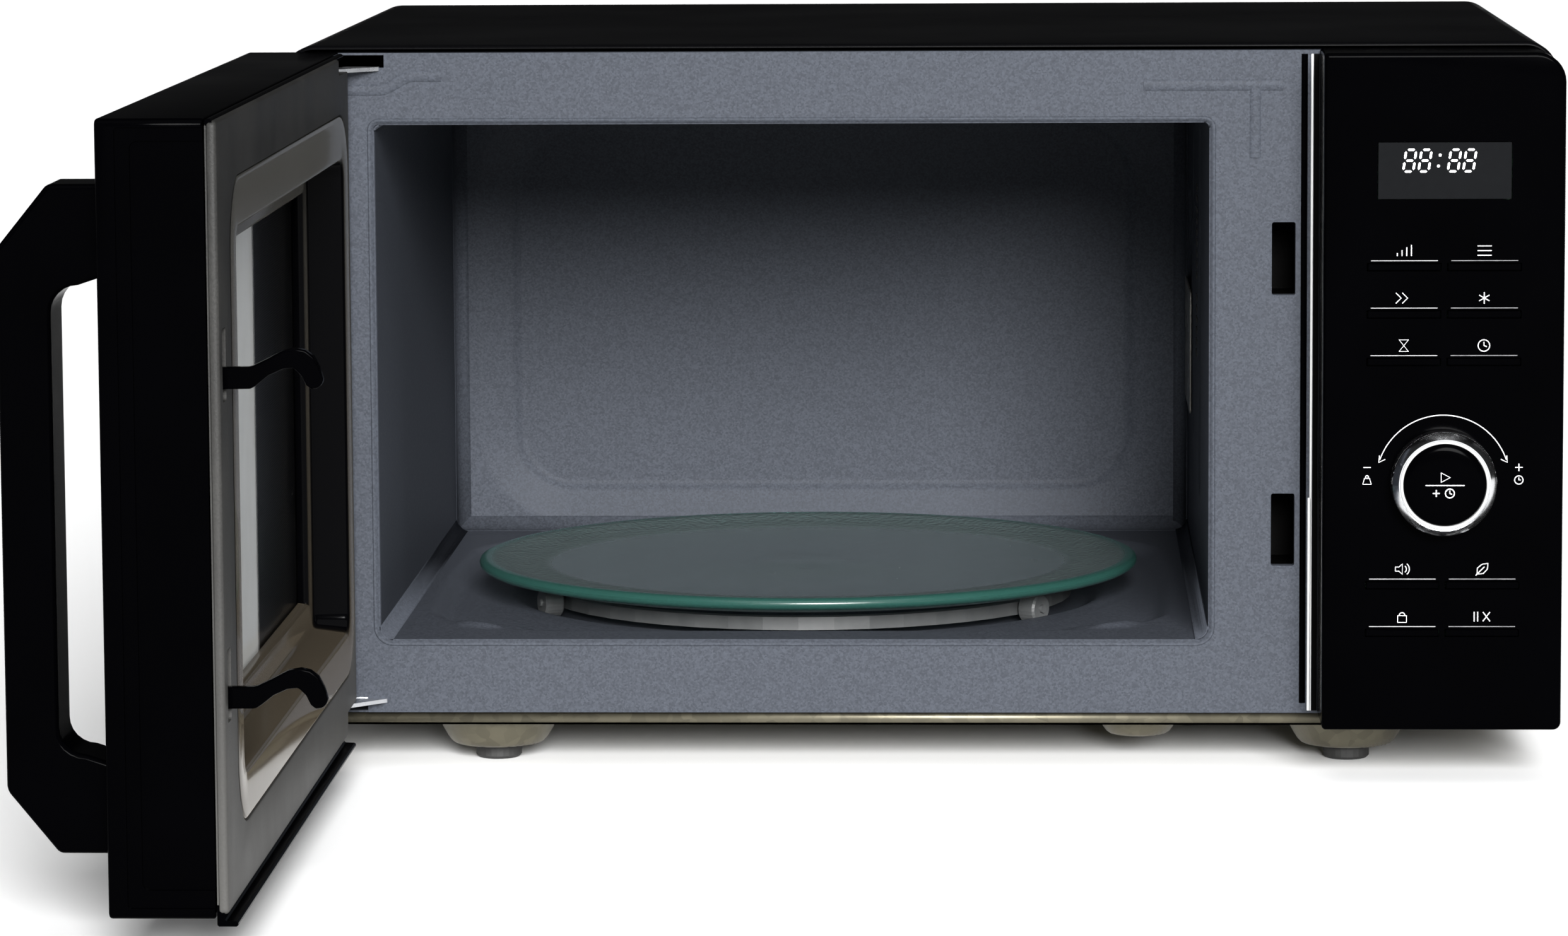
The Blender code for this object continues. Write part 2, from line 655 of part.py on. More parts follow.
def hinge(name, plate_z, pin_up, parent):
    """A plate fixed behind the front plate, which reaches out to the pin that the door turns on."""
    reach = Vector((HINGE.x, HINGE.y))
    root = LEFT + 37 * MM
    outline = [
        (root, SHEET + GAP + 1.2 * MM),
        (root, -1 * MM),
        (root - 3 * MM, -4 * MM),
        (reach.x + 8 * MM, reach.y - 3.5 * MM),
    ]
    outline += arc(reach, 5 * MM, -60, -235, 6)
    outline += [(LEFT + 23 * MM, -2 * MM), (LEFT + 23 * MM, SHEET + GAP + 1.2 * MM)]
    made = slab(name, [outline], plate_z, plate_z + HINGE_PLATE, "zinc", parent, "Z")
    near = SHEET + GAP
    inward = -1 if pin_up else 1
    edge = plate_z + HINGE_PLATE / 2
    far = edge + inward * 17 * MM
    low = (LEFT + 6 * MM, near, min(edge, far))
    high = (LEFT + 48 * MM, near + 1.6 * MM, max(edge, far))
    join(made, block("flange", low, high, parent=parent))
    pin_end = plate_z + HINGE_PLATE + HINGE_PIN_REACH if pin_up else plate_z - HINGE_PIN_REACH
    start = (HINGE.x, HINGE.y, edge)
    join(made, rod("pin", HINGE_PIN_RADIUS, start, (HINGE.x, HINGE.y, pin_end), parent=parent, segments=32))
    return made


# ---- Works inside the cabinet ----


def waveguide(parent):
    """The duct from the magnetron to the wave window, open to the cavity's wall."""
    rear = CAVITY_REAR - 4 * MM
    low = Vector((BAY_LEFT, rear - DUCT_LENGTH, DUCT_MIDDLE - DUCT_HEIGHT / 2))
    high = Vector((BAY_LEFT + DUCT_WIDTH, rear, DUCT_MIDDLE + DUCT_HEIGHT / 2))
    duct = block("waveguide", low, high, "galvanised", parent)
    wall = Vector((1 * MM, 1 * MM, 1 * MM))
    cut(duct, block("inside", low + wall - Vector((4 * MM, 0, 0)), high - wall, parent=parent))
    start = antenna_place()
    cut(duct, rod("antenna_hole", 11 * MM, start, start + Vector((9 * MM, 0, 0)), parent=parent))
    return duct


def antenna_place():
    """Where the magnetron's antenna comes through the duct's wall."""
    return Vector((BAY_LEFT + DUCT_WIDTH - 4 * MM, CAVITY_REAR - 4 * MM - DUCT_LENGTH + 24 * MM, DUCT_MIDDLE))


def magnetron(parent):
    """The tube in its yoke, with cooling fins, the antenna and the filter box."""
    antenna = antenna_place()
    left = BAY_LEFT + DUCT_WIDTH + GAP
    width, depth, height = 62 * MM, 68 * MM, 78 * MM
    low = Vector((left, antenna.y - depth / 2, antenna.z - height / 2))
    high = low + Vector((width, depth, height))
    tube = block("magnetron", low, high, "aluminium", parent)
    hollow_low = low + Vector((3 * MM, -2 * MM, 3 * MM))
    hollow_high = high - Vector((3 * MM, -2 * MM, 3 * MM))
    cut(tube, block("yoke_inside", hollow_low, hollow_high, parent=parent))
    for i in range(7):
        x = left + 8 * MM + i * 7.2 * MM
        fin_low = (x, low.y + 6 * MM, low.z + 2 * MM)
        fin_high = (x + 1.2 * MM, high.y - 6 * MM, high.z - 2 * MM)
        join(tube, block("fin", fin_low, fin_high, parent=parent))
    start = Vector((left + 2 * MM, antenna.y, antenna.z))
    end = Vector((left + width - 2 * MM, antenna.y, antenna.z))
    join(tube, rod("anode", 18 * MM, start, end, parent=parent))
    tip = Vector((BAY_LEFT + 5 * MM, antenna.y, antenna.z))
    join(tube, rod("antenna", 9 * MM, start, tip, parent=parent))
    filter_low = (left + width - 1 * MM, low.y + 16 * MM, low.z + 18 * MM)
    filter_high = (left + width + 22 * MM, high.y - 16 * MM, high.z - 18 * MM)
    join(tube, block("filter_box", filter_low, filter_high, parent=parent))
    return tube


def transformer(parent):
    """Laminated core with two windows, and a primary and a secondary coil on its middle limb."""
    floor = BASE_FLOOR + SHEET + GAP
    length, depth, height = 82 * MM, 56 * MM, 66 * MM
    low = Vector((RIGHT - 12 * MM - length, 60 * MM, floor))
    high = low + Vector((length, depth, height))
    limb = 13 * MM
    window = (length - 4 * limb) / 2
    core = block("transformer_core", low, high, "laminations", parent)
    for i in range(2):
        x = low.x + limb + i * (window + 2 * limb)
        window_low = (x, low.y - 1 * MM, low.z + limb)
        window_high = (x + window, high.y + 1 * MM, high.z - limb)
        cut(core, block("window", window_low, window_high, parent=parent))
    centre = (middle_of(low.x, high.x), middle_of(low.y, high.y))
    half = Vector((limb, depth / 2))
    clear = 1 * MM
    stack = high.z - low.z - 2 * limb - 3 * clear
    share = {"primary_winding": 0.4, "secondary_winding": 0.6}
    bottom = low.z + limb + clear
    for name, part in share.items():
        inner = half + Vector((clear, clear))
        outer = inner + Vector((window - 2 * clear, window - 2 * clear))
        outlines = [
            rounded(
                (centre[0] - size.x, centre[1] - size.y),
                (centre[0] + size.x, centre[1] + size.y),
                corner,
                3,
            )
            for size, corner in ((outer, window - 2 * clear), (inner, 1.5 * MM))
        ]
        top = bottom + stack * part
        slab(name, outlines, bottom, top, "copper_coil", parent, "Z")
        bottom = top + clear


def capacitor(parent):
    """The oval high-voltage capacitor, lying on the base plate."""
    start = 132 * MM
    radius = 16 * MM
    z = BASE_FLOOR + SHEET + GAP + radius
    left = BAY_LEFT + 12 * MM
    outline = arc((left + radius, z), radius, 90, 270, 8)
    outline += arc((left + radius + 18 * MM, z), radius, -90, 90, 8)
    can = slab("capacitor", [outline], start, start + 82 * MM, "aluminium", parent)
    for x in (left + radius, left + radius + 18 * MM):
        low = (x - 3 * MM, start - 8 * MM, z - 0.5 * MM)
        join(can, block("tab", low, (x + 3 * MM, start + 1 * MM, z + 0.5 * MM), parent=parent))
    return can


def hv_diode(parent):
    """The high-voltage diode and its ground tag."""
    place = Vector((RIGHT - 24 * MM, 135 * MM, BASE_FLOOR + SHEET + GAP + 3.5 * MM))
    body = rod("hv_diode", 3.2 * MM, place, place + Vector((0, 24 * MM, 0)), "textured_black", parent, 16)
    end = place + Vector((0, 22 * MM, 0))
    join(body, rod("lead", 0.8 * MM, end, end + Vector((0, 18 * MM, 0)), parent=parent, segments=8))
    return body


def fan_centre():
    rear = REAR_FACE - SHEET - 1 * MM
    return Vector((RIGHT - 12 * MM - FAN_FRAME / 2, rear, DUCT_MIDDLE))


def fan(parent, blades_pivot):
    """Shroud, motor and blades of the cooling fan, in front of the rear panel's louvres."""
    centre = fan_centre()
    half = FAN_FRAME / 2
    front = centre.y - FAN_DEPTH
    shroud = block(
        "fan_shroud",
        (centre.x - half, front, centre.z - half),
        (centre.x + half, centre.y, centre.z + half),
        "white_plastic",
        parent,
    )
    forward = Vector((0, 1, 0))
    bore = 40 * MM
    cut(shroud, rod("bore", bore, centre + forward * 1 * MM, centre - forward * (FAN_DEPTH - 2 * MM), parent=parent))
    cut(shroud, rod("inlet", 30 * MM, centre, centre - forward * (FAN_DEPTH + 2 * MM), parent=parent))
    for sign in (-1, 1):
        low = (centre.x + sign * 22 * MM - 3 * MM, front - FAN_MOTOR_DEPTH, centre.z - 38 * MM)
        high = (centre.x + sign * 22 * MM + 3 * MM, front + 1 * MM, centre.z - 32 * MM)
        join(shroud, block("bracket", low, high, parent=parent))
    motor_low = (centre.x - 26 * MM, front - FAN_MOTOR_DEPTH, centre.z - 31 * MM)
    motor_high = (centre.x + 26 * MM, front - 6 * MM, centre.z + 20 * MM)
    motor = block("fan_motor", motor_low, motor_high, "laminations", parent)
    deep = Vector((centre.x, front - FAN_MOTOR_DEPTH + 4 * MM, centre.z))
    cut(motor, rod("shaft_bore", 3 * MM, deep, Vector((centre.x, front, centre.z)), parent=parent))
    hub_front = centre - forward * (FAN_DEPTH - 6 * MM)
    hub = rod("fan_blade", 9 * MM, hub_front, centre - forward * 7 * MM, "white_plastic", blades_pivot)
    join(hub, rod("spindle", 2.4 * MM, deep + forward * 1 * MM, hub_front + forward * 2 * MM, parent=blades_pivot))
    for i in range(5):
        low = (6 * MM, -1 * MM, -7 * MM)
        blade = block("blade", low, (bore - 4 * MM, 1 * MM, 7 * MM), parent=blades_pivot)
        middle = blade.location.copy()
        blade.data.transform(Matrix.Translation(middle))
        tilt = Matrix.Rotation(math.radians(35), 4, "X")
        turn = Matrix.Rotation(math.radians(72 * i), 4, "Y")
        blade.data.transform(turn @ tilt)
        blade.location = centre - forward * 15.5 * MM
        join(hub, blade)
    return shroud


def cavity_lamp(parent):
    """The lamp in its holder, behind the air holes."""
    low = Vector((BAY_LEFT + 2 * MM, 96 * MM, CAVITY_FLOOR + 118 * MM))
    holder = block("cavity_lamp", low, low + Vector((20 * MM, 24 * MM, 5 * MM)), "white_plastic", parent)
    centre = low + Vector((10 * MM, 12 * MM, 4 * MM))
    join(holder, rod("socket", 8 * MM, centre, centre + Vector((0, 0, 16 * MM)), parent=parent, segments=16))
    glass = centre + Vector((0, 0, 14 * MM))
    bulb = rod("bulb", 9.5 * MM, glass, glass + Vector((0, 0, 22 * MM)), parent=parent, segments=16, end_radius=6 * MM)
    join(holder, bulb)
    return holder


def filter_board(parent):
    """The mains filter's board, with its choke and its capacitor, above the magnetron."""
    low = Vector((BAY_LEFT + 24 * MM, 225 * MM, DUCT_MIDDLE + 62 * MM))
    board = block("filter_board", low, low + Vector((72 * MM, 52 * MM, 1.6 * MM)), "board_green", parent)
    choke = low + Vector((22 * MM, 26 * MM, 1 * MM))
    join(board, rod("choke", 13 * MM, choke, choke + Vector((0, 0, 14 * MM)), parent=parent, segments=20))
    film = low + Vector((44 * MM, 12 * MM, 1 * MM))
    join(board, block("film_capacitor", film, film + Vector((18 * MM, 28 * MM, 13 * MM)), parent=parent))
    return board


def latch_bracket(parent):
    """The catch behind the front plate, with a pocket for each hook."""
    near = SHEET + GAP
    left = SLOT_X - LATCH_SLOT_WIDTH / 2 - 4 * MM
    right = SLOT_X + LATCH_SLOT_WIDTH / 2 + 4.5 * MM
    low = (left, near, SLOT_HEIGHTS[1] - LATCH_SLOT_HEIGHT / 2 - 12 * MM)
    high = (right, near + LATCH_REACH + 12 * MM, SLOT_HEIGHTS[0] + LATCH_SLOT_HEIGHT / 2 + 12 * MM)
    bracket = block("latch_bracket", low, high, "textured_black", parent)
    for z in SLOT_HEIGHTS:
        pocket_low = (left + 2 * MM, near - 2 * MM, z - LATCH_SLOT_HEIGHT / 2 - 1 * MM)
        pocket_high = (right - 2 * MM, near + LATCH_REACH + 5 * MM, z + LATCH_SLOT_HEIGHT / 2 + 1 * MM)
        cut(bracket, block("pocket", pocket_low, pocket_high, parent=parent))
    middle_low = (left + 3 * MM, near + 3 * MM, SLOT_HEIGHTS[1] + LATCH_SLOT_HEIGHT / 2 + 4 * MM)
    middle_high = (right + 1 * MM, high[1] + 1 * MM, SLOT_HEIGHTS[0] - LATCH_SLOT_HEIGHT / 2 - 4 * MM)
    cut(bracket, block("relief", middle_low, middle_high, parent=parent))
    switch_left = right + GAP
    places = {
        "primary_switch": SLOT_HEIGHTS[0] - 8 * MM,
        "secondary_switch": SLOT_HEIGHTS[1] - 8 * MM,
        "monitor_switch": SLOT_HEIGHTS[1] + 12 * MM,
    }
    for name, z in places.items():
        y = near + 14 * MM
        body = block(name, (switch_left, y, z), (switch_left + 6.5 * MM, y + 20 * MM, z + 11 * MM), "textured_black", parent)
        tab = block("tab", (switch_left + 2 * MM, y + 19 * MM, z + 4 * MM), (switch_left + 4 * MM, y + 25 * MM, z + 7 * MM), parent=parent)
        join(body, tab)
    return bracket


# ---- Door ----


def door_frame(parent):
    """The moulded outer shell, with a step for the outer glass and a bore for each hinge pin."""
    outline = rounded((DOOR_LEFT, DOOR_BOTTOM), (DOOR_RIGHT, FRONT_TOP), 2 * MM, 2)
    frame = slab("door_frame", [outline], -FRONT_PROUD, FRAME_BACK, "gloss_black", parent)
    inner = rounded(
        (DOOR_LEFT + DOOR_WALL, DOOR_BOTTOM + DOOR_WALL), (DOOR_RIGHT - DOOR_WALL, FRONT_TOP - DOOR_WALL), 1 * MM, 2
    )
    cut(frame, slab("inside", [inner], -FRONT_PROUD + DOOR_WALL, FRAME_BACK + 4 * MM, parent=parent))
    low, high = glass_corners(0)
    cut(frame, slab("glass_opening", [rounded(low, high, 4 * MM)], -FRONT_PROUD - 3 * MM, -20 * MM, parent=parent))
    for plate_z, up in ((HINGE_TOP, 1), (HINGE_BOTTOM, -1)):
        wall = FRONT_TOP - 0.5 * MM if up > 0 else DOOR_BOTTOM + 0.5 * MM
        face = plate_z + HINGE_PLATE + 0.8 * MM if up > 0 else plate_z - 0.8 * MM
        start = (HINGE.x, HINGE.y, face)
        join(frame, rod("pin_boss", 5.5 * MM, start, (HINGE.x, HINGE.y, wall), parent=parent, segments=24))
        end = (HINGE.x, HINGE.y, (FRONT_TOP - 1 * MM) if up > 0 else (DOOR_BOTTOM + 1 * MM))
        below = (HINGE.x, HINGE.y, plate_z)
        radius = HINGE_PIN_RADIUS + HINGE_PIN_CLEARANCE
        cut(frame, rod("pin_bore", radius, below, end, parent=parent, segments=32))
        notch_low = (DOOR_LEFT - 2 * MM, HINGE_Y - 4 * MM, plate_z - 1 * MM)
        notch_high = (DOOR_LEFT + DOOR_WALL + 1 * MM, FRAME_BACK + 2 * MM, plate_z + HINGE_PLATE + 1 * MM)
        cut(frame, block("plate_notch", notch_low, notch_high, parent=parent))
    cut(frame, swing_corner(parent))
    left = latch_left()
    for side in (left - GAP - 1.6 * MM, left + LATCH_THICK + GAP):
        z = sum(SLOT_HEIGHTS) / 2
        guide_low = (side, -FRONT_PROUD + 1 * MM, z - 5 * MM)
        guide_high = (side + 1.6 * MM, latch_back() - 2 * MM, z + 5 * MM)
        join(frame, block("guide", guide_low, guide_high, parent=parent))
    post = spring_axis() + Vector((0, 3.4 * MM, spring_ends()[0] - 1.8 * MM))
    wall = Vector((post.x, -FRONT_PROUD + 1 * MM, post.z))
    join(frame, rod("spring_post", 1 * MM, wall, post, parent=parent, segments=12))
    return frame


def swing_corner(parent):
    """A cutter for the door's inner corner beside the hinge, which passes the front plate as it turns."""
    radius = -HINGE_Y - SWING_CLEARANCE
    outline = arc((HINGE.x, HINGE.y), radius, 180, 90, 8)
    outline += [(HINGE.x, 5 * MM), (DOOR_LEFT - 5 * MM, 5 * MM), (DOOR_LEFT - 5 * MM, HINGE.y)]
    bottom = DOOR_BOTTOM - 10 * MM
    return slab("swing_corner", [outline[::-1]], bottom, FRONT_TOP + 10 * MM, parent=parent, facing="Z")


def latch_left():
    """The left face of the hooks' plate, which stands a little left of the slots' middle."""
    return SLOT_X - LATCH_THICK + 0.6 * MM


def latch_back():
    """The rear face of the latch bar, inside the choke channel."""
    return FRAME_BACK - GAP - CHOKE_DEPTH + 8 * MM


def spring_axis():
    return Vector((latch_left() + LATCH_THICK / 2, latch_back() - 4.5 * MM, 0))


def spring_ends():
    """The heights of the latch spring's two ends."""
    bar_end = SLOT_HEIGHTS[1] - 16 * MM
    return bar_end - 24 * MM, bar_end - 1 * MM


def glass_corners(clearance):
    """The outer glass, in X and Z, with a clearance all round."""
    low = (DOOR_LEFT + 20 * MM + clearance, DOOR_BOTTOM + 20 * MM + clearance)
    right = DOOR_RIGHT - HANDLE_INSET - HANDLE_WIDTH - 4 * MM
    high = (right - clearance, FRONT_TOP - 20 * MM - clearance)
    return low, high


def door_glass(parent):
    low, high = glass_corners(GAP)
    outline = rounded(low, high, 4 * MM)
    return slab("door_glass", [outline], -FRONT_PROUD + 0.1 * MM, -FRONT_PROUD + GLASS_THICK, "dark_glass", parent)


def door_inner_panel(parent):
    """The pressed steel panel: a choke channel round its edge and a dished window."""
    face = FRAME_BACK - GAP
    edge = DOOR_WALL + 1.2 * MM
    foot = HINGE_BOTTOM + HINGE_PLATE + 2 * MM
    head = HINGE_TOP - 2 * MM
    low = Vector((DOOR_LEFT + edge + 16 * MM, face - CHOKE_DEPTH, foot))
    high = Vector((DOOR_RIGHT - edge, face, head))
    panel = block("door_inner_panel", low, high, "gloss_black", parent)
    wall = Vector((SHEET, 0, SHEET))
    cut(panel, block("choke", low + wall - Vector((0, 3 * MM, 0)), high - wall - Vector((0, SHEET, 0)), parent=parent))
    window_low = (CAVITY_LEFT + 8 * MM, CAVITY_FLOOR + 8 * MM)
    window_high = (CAVITY_RIGHT - 8 * MM, CAVITY_TOP - 8 * MM)
    rim = 22 * MM
    dish = rounded(window_low, window_high, rim)
    join(panel, slab("dish", [dish], face - WINDOW_DISH_DEPTH, face - SHEET / 2, parent=parent))
    inner_low = (window_low[0] + SHEET, window_low[1] + SHEET)
    inner_high = (window_high[0] - SHEET, window_high[1] - SHEET)
    inside = rounded(inner_low, inner_high, rim - SHEET)
    cut(panel, slab("dish_inside", [inside], face - WINDOW_DISH_DEPTH + SHEET, face + 2 * MM, parent=parent))
    bar_low = (SLOT_X - 8 * MM, low.y - 2 * MM, foot + 8 * MM)
    bar_high = (SLOT_X + 7 * MM, face + 2 * MM, head - 8 * MM)
    cut(panel, block("latch_window", bar_low, bar_high, parent=parent))
    return panel


def window_film(parent):
    """The clear film over the perforated window, on the cavity side."""
    face = FRAME_BACK - GAP - WINDOW_DISH_DEPTH + SHEET + GAP
    low = (CAVITY_LEFT + 11 * MM, CAVITY_FLOOR + 11 * MM)
    high = (CAVITY_RIGHT - 11 * MM, CAVITY_TOP - 11 * MM)
    return slab("window_film", [rounded(low, high, 18 * MM)], face, face + 0.8 * MM, "clear_glass", parent)


def choke_cover(parent):
    """The moulded frame that closes the choke channel, with the lip under its lower edge."""
    low = (DOOR_LEFT + 1.4 * MM, DOOR_BOTTOM + 1.4 * MM)
    high = (DOOR_RIGHT - 1.4 * MM, FRONT_TOP - 1.4 * MM)
    outer = rounded(low, high, 2 * MM, 2)
    inner_low = (CAVITY_LEFT + 6 * MM, CAVITY_FLOOR + 6 * MM)
    inner_high = (CAVITY_RIGHT - 6 * MM, CAVITY_TOP - 6 * MM)
    cover = slab("choke_cover", [outer, rounded(inner_low, inner_high, 20 * MM)], COVER_FRONT, COVER_BACK, "textured_black", parent)
    for z in SLOT_HEIGHTS:
        slot_low = (SLOT_X - LATCH_SLOT_WIDTH / 2, COVER_FRONT - 2 * MM, z - 11 * MM)
        slot_high = (SLOT_X + LATCH_SLOT_WIDTH / 2, COVER_BACK + 2 * MM, z + 13 * MM)
        cut(cover, block("hook_slot", slot_low, slot_high, parent=parent))
    for z_low, z_high in ((HINGE_TOP - 1.2 * MM, FRONT_TOP), (DOOR_BOTTOM, HINGE_BOTTOM + HINGE_PLATE + 1.2 * MM)):
        notch_low = (DOOR_LEFT - 1 * MM, COVER_FRONT - 2 * MM, z_low)
        notch_high = (LEFT + HINGE_NOTCH_WIDTH, COVER_BACK + 2 * MM, z_high)
        cut(cover, block("hinge_notch", notch_low, notch_high, parent=parent))
    cut(cover, swing_corner(parent))
    lip_left = LEFT + HINGE_NOTCH_WIDTH + 1 * MM
    lip_low = (lip_left, COVER_FRONT, DOOR_BOTTOM - LIP_DROP)
    lip_high = (DOOR_RIGHT - 2 * MM, COVER_BACK + LIP_REACH, DOOR_BOTTOM - LIP_DROP + 2 * MM)
    join(cover, block("lip", lip_low, lip_high, parent=parent))
    web_high = (DOOR_RIGHT - 2 * MM, COVER_BACK - 1.4 * MM, DOOR_BOTTOM + 4 * MM)
    join(cover, block("lip_web", lip_low, web_high, parent=parent))
    return cover


def handle(parent):
    """The pull: a bar with an arm at each end, its outer corners cut off."""
    near = -FRONT_PROUD - GAP
    outer = near - HANDLE_REACH
    inner = outer + HANDLE_BAR
    top = FRONT_TOP - HANDLE_TOP
    bottom = DOOR_BOTTOM + HANDLE_BOTTOM
    bend = 6 * MM
    outline = [
        (near, bottom),
        (outer + HANDLE_CHAMFER_Y, bottom),
        (outer, bottom + HANDLE_CHAMFER_Z),
        (outer, top - HANDLE_CHAMFER_Z),
        (outer + HANDLE_CHAMFER_Y, top),
        (near, top),
        (near, top - HANDLE_ARM),
    ]
    outline += arc((inner + bend, top - HANDLE_ARM - bend), bend, 90, 180, 3)
    outline += arc((inner + bend, bottom + HANDLE_ARM + bend), bend, 180, 270, 3)
    outline += [(near, bottom + HANDLE_ARM)]
    right = DOOR_RIGHT - HANDLE_INSET
    made = slab("handle", [outline[::-1]], right - HANDLE_WIDTH, right, "gloss_black", parent, "X")
    return soften(made, 2 * MM, 2, 30)


def latch_hooks(parent):
    """The bar inside the door with its two hooks, which reach through the front plate's slots."""
    left = latch_left()
    bar_back = latch_back()
    bar_front = bar_back - LATCH_BAR
    bars = [
        (bar_front, SLOT_HEIGHTS[1] - 16 * MM),
        (bar_back, SLOT_HEIGHTS[1] - 16 * MM),
    ]
    for z in reversed(SLOT_HEIGHTS):
        under = z - HOOK_DROP
        hook = [(COVER_BACK + reach * MM, under + rise * MM) for reach, rise in HOOK_OUTLINE]
        bars += [(bar_back, hook[0][1]), *hook, (bar_back, hook[-1][1])]
    bars += [(bar_back, SLOT_HEIGHTS[0] + 10 * MM), (bar_front, SLOT_HEIGHTS[0] + 10 * MM)]
    return slab("latch_hooks", [bars], left, left + LATCH_THICK, "textured_black", parent, "X")


def latch_spring(parent):
    """The spring that pulls the latch down."""
    coils, per_turn = 7, 8
    radius, wire = 2.6 * MM, 0.4 * MM
    bottom, top = spring_ends()
    curve = bpy.data.curves.new("latch_spring", "CURVE")
    curve.dimensions = "3D"
    curve.bevel_depth = wire
    curve.bevel_resolution = 0
    curve.use_fill_caps = True
    spline = curve.splines.new("POLY")
    count = coils * per_turn + 1
    spline.points.add(count - 1)
    for i, point in enumerate(spline.points):
        angle = 2 * math.pi * i / per_turn
        z = bottom + (top - bottom) * i / (count - 1)
        point.co = (radius * math.cos(angle), radius * math.sin(angle), z, 1)
    spring = bpy.data.objects.new("latch_spring", curve)
    spring.location = spring_axis()
    curve.materials.append(finish("spring_steel"))
    bpy.data.collections[PARTS].objects.link(spring)
    hang(spring, parent)
    return spring


# ---- Turntable ----


def turntable_motor(parent):
    """The flat synchronous motor under the cavity."""
    top = TRACK_FLOOR - SHEET - GAP
    profile = (
        (4 * MM, top),
        (MOTOR_RADIUS, top),
        (MOTOR_RADIUS, top - MOTOR_HEIGHT),
        (0, top - MOTOR_HEIGHT),
        (0, top - MOTOR_HEIGHT + 3 * MM),
        (4 * MM, top - MOTOR_HEIGHT + 3 * MM),
        (4 * MM, top),
    )
    return turned("turntable_motor", profile, TURN_CENTRE, "zinc", parent, steps=32)


def turntable_coupler(parent):
    """The three-lobed driver on the motor's shaft."""
    top = TRAY_BOTTOM - GAP
    low = TRACK_FLOOR + 1 * MM
    hub = rod("turntable_coupler", 8 * MM, TURN_CENTRE + Vector((0, 0, low)), TURN_CENTRE + Vector((0, 0, top)), "pale_plastic", parent)
    for i in range(3):
        angle = math.radians(90 + 120 * i)
        out = Vector((math.cos(angle), math.sin(angle), 0))
        lobe = TURN_CENTRE + out * (COUPLER_RADIUS - 6 * MM)
        start = lobe + Vector((0, 0, low + 2 * MM))
        join(hub, rod("lobe", 6 * MM, start, lobe + Vector((0, 0, top)), parent=parent, segments=16))
    stem = TURN_CENTRE + Vector((0, 0, TRACK_FLOOR - SHEET - GAP - MOTOR_HEIGHT + 4 * MM))
    join(hub, rod("stem", 3.4 * MM, stem, TURN_CENTRE + Vector((0, 0, low + 1 * MM)), parent=parent))
    return hub


def glass_tray(parent):
    """The glass plate: a flat floor, a raised rim, and lugs under it that the coupler drives."""
    flat = TRAY_BOTTOM + TRAY_THICK
    rim = TRAY_BOTTOM + TRAY_RIM_RISE
    profile = (
        (0, flat),
        (TRAY_RADIUS - 20 * MM, flat),
        (TRAY_RADIUS - 9 * MM, rim - 0.6 * MM),
        (TRAY_RADIUS - 3 * MM, rim),
        (TRAY_RADIUS, rim - 1.6 * MM),
        (TRAY_RADIUS - 0.8 * MM, rim - 3.4 * MM),
        (TRAY_RADIUS - 12 * MM, TRAY_BOTTOM),
        (0, TRAY_BOTTOM),
    )
    tray = turned("glass_tray", profile, TURN_CENTRE, "clear_glass", parent, steps=64)
    for i in range(3):
        angle = math.radians(30 + 120 * i)
        lug = TURN_CENTRE + Vector((math.cos(angle), math.sin(angle), 0)) * (COUPLER_RADIUS + 1 * MM)
        start = lug + Vector((0, 0, TRAY_BOTTOM - 4 * MM))
        join(tray, rod("lug", 3 * MM, start, lug + Vector((0, 0, TRAY_BOTTOM + 1 * MM)), parent=parent, segments=12))
    return tray


def roller_ring(parent):
    """The ring that carries three wheels on axle pins."""
    axle_z = TRACK_FLOOR + ROLLER_RADIUS + GAP / 2
    outer = ROLLER_CIRCLE - ROLLER_WIDTH / 2 - 1 * MM
    inner = outer - 5 * MM
    low = axle_z - 2.6 * MM
    high = axle_z + 2.6 * MM
    profile = ((inner, high), (outer, high), (outer, low), (inner, low), (inner, high))
    ring = turned("roller_ring", profile, TURN_CENTRE, "pale_plastic", parent, steps=48)
    for i in range(3):
        out = roller_direction(i)
        start = TURN_CENTRE + out * (outer - 2 * MM) + Vector((0, 0, axle_z))
        end = TURN_CENTRE + out * (ROLLER_CIRCLE + ROLLER_WIDTH / 2 + 1 * MM) + Vector((0, 0, axle_z))
        join(ring, rod("axle", ROLLER_AXLE_RADIUS, start, end, parent=parent, segments=16))
    return ring


def roller_direction(i):
    angle = math.radians(-35 + 120 * i)
    return Vector((math.cos(angle), math.sin(angle), 0))


def roller_wheel(i, parent):
    """One wheel, on its axle pin."""
    bore = ROLLER_AXLE_RADIUS + 0.12 * MM
    half = ROLLER_WIDTH / 2
    profile = (
        (bore, half),
        (ROLLER_RADIUS - 0.8 * MM, half),
        (ROLLER_RADIUS, half - 0.8 * MM),
        (ROLLER_RADIUS, -half + 0.8 * MM),
        (ROLLER_RADIUS - 0.8 * MM, -half),
        (bore, -half),
        (bore, half),
    )
    wheel = turned(f"roller_wheel_{i + 1}", profile, parent.location, "pale_plastic", parent, steps=24)
    wheel.rotation_mode = "QUATERNION"
    wheel.rotation_quaternion = Vector((0, 0, 1)).rotation_difference(roller_direction(i))
    return wheel


# ---- Controls ----


def row_heights():
    """The middle of each row of the panel. The free space stretches with the panel's height."""
    height = FRONT_TOP - PANEL_BOTTOM
    filled = sum(row[1] for row in PANEL_ROWS)
    spaces = sum(row[2] for row in PANEL_ROWS) + PANEL_BOTTOM_SPACE
    stretch = (height - filled) / spaces
    z = FRONT_TOP
    middles = {}
    for name, size, space in PANEL_ROWS:
        z -= space * stretch + size / 2
        middles[name] = z
        z -= size / 2
    return middles


def button_places():
    rows = row_heights()
    places = []
    for name in ("row_1", "row_2", "row_3", "row_4", "row_5"):
        for side in (-1, 1):
            places.append((PANEL_MIDDLE + side * BUTTON_PITCH_X / 2, rows[name]))
    return places


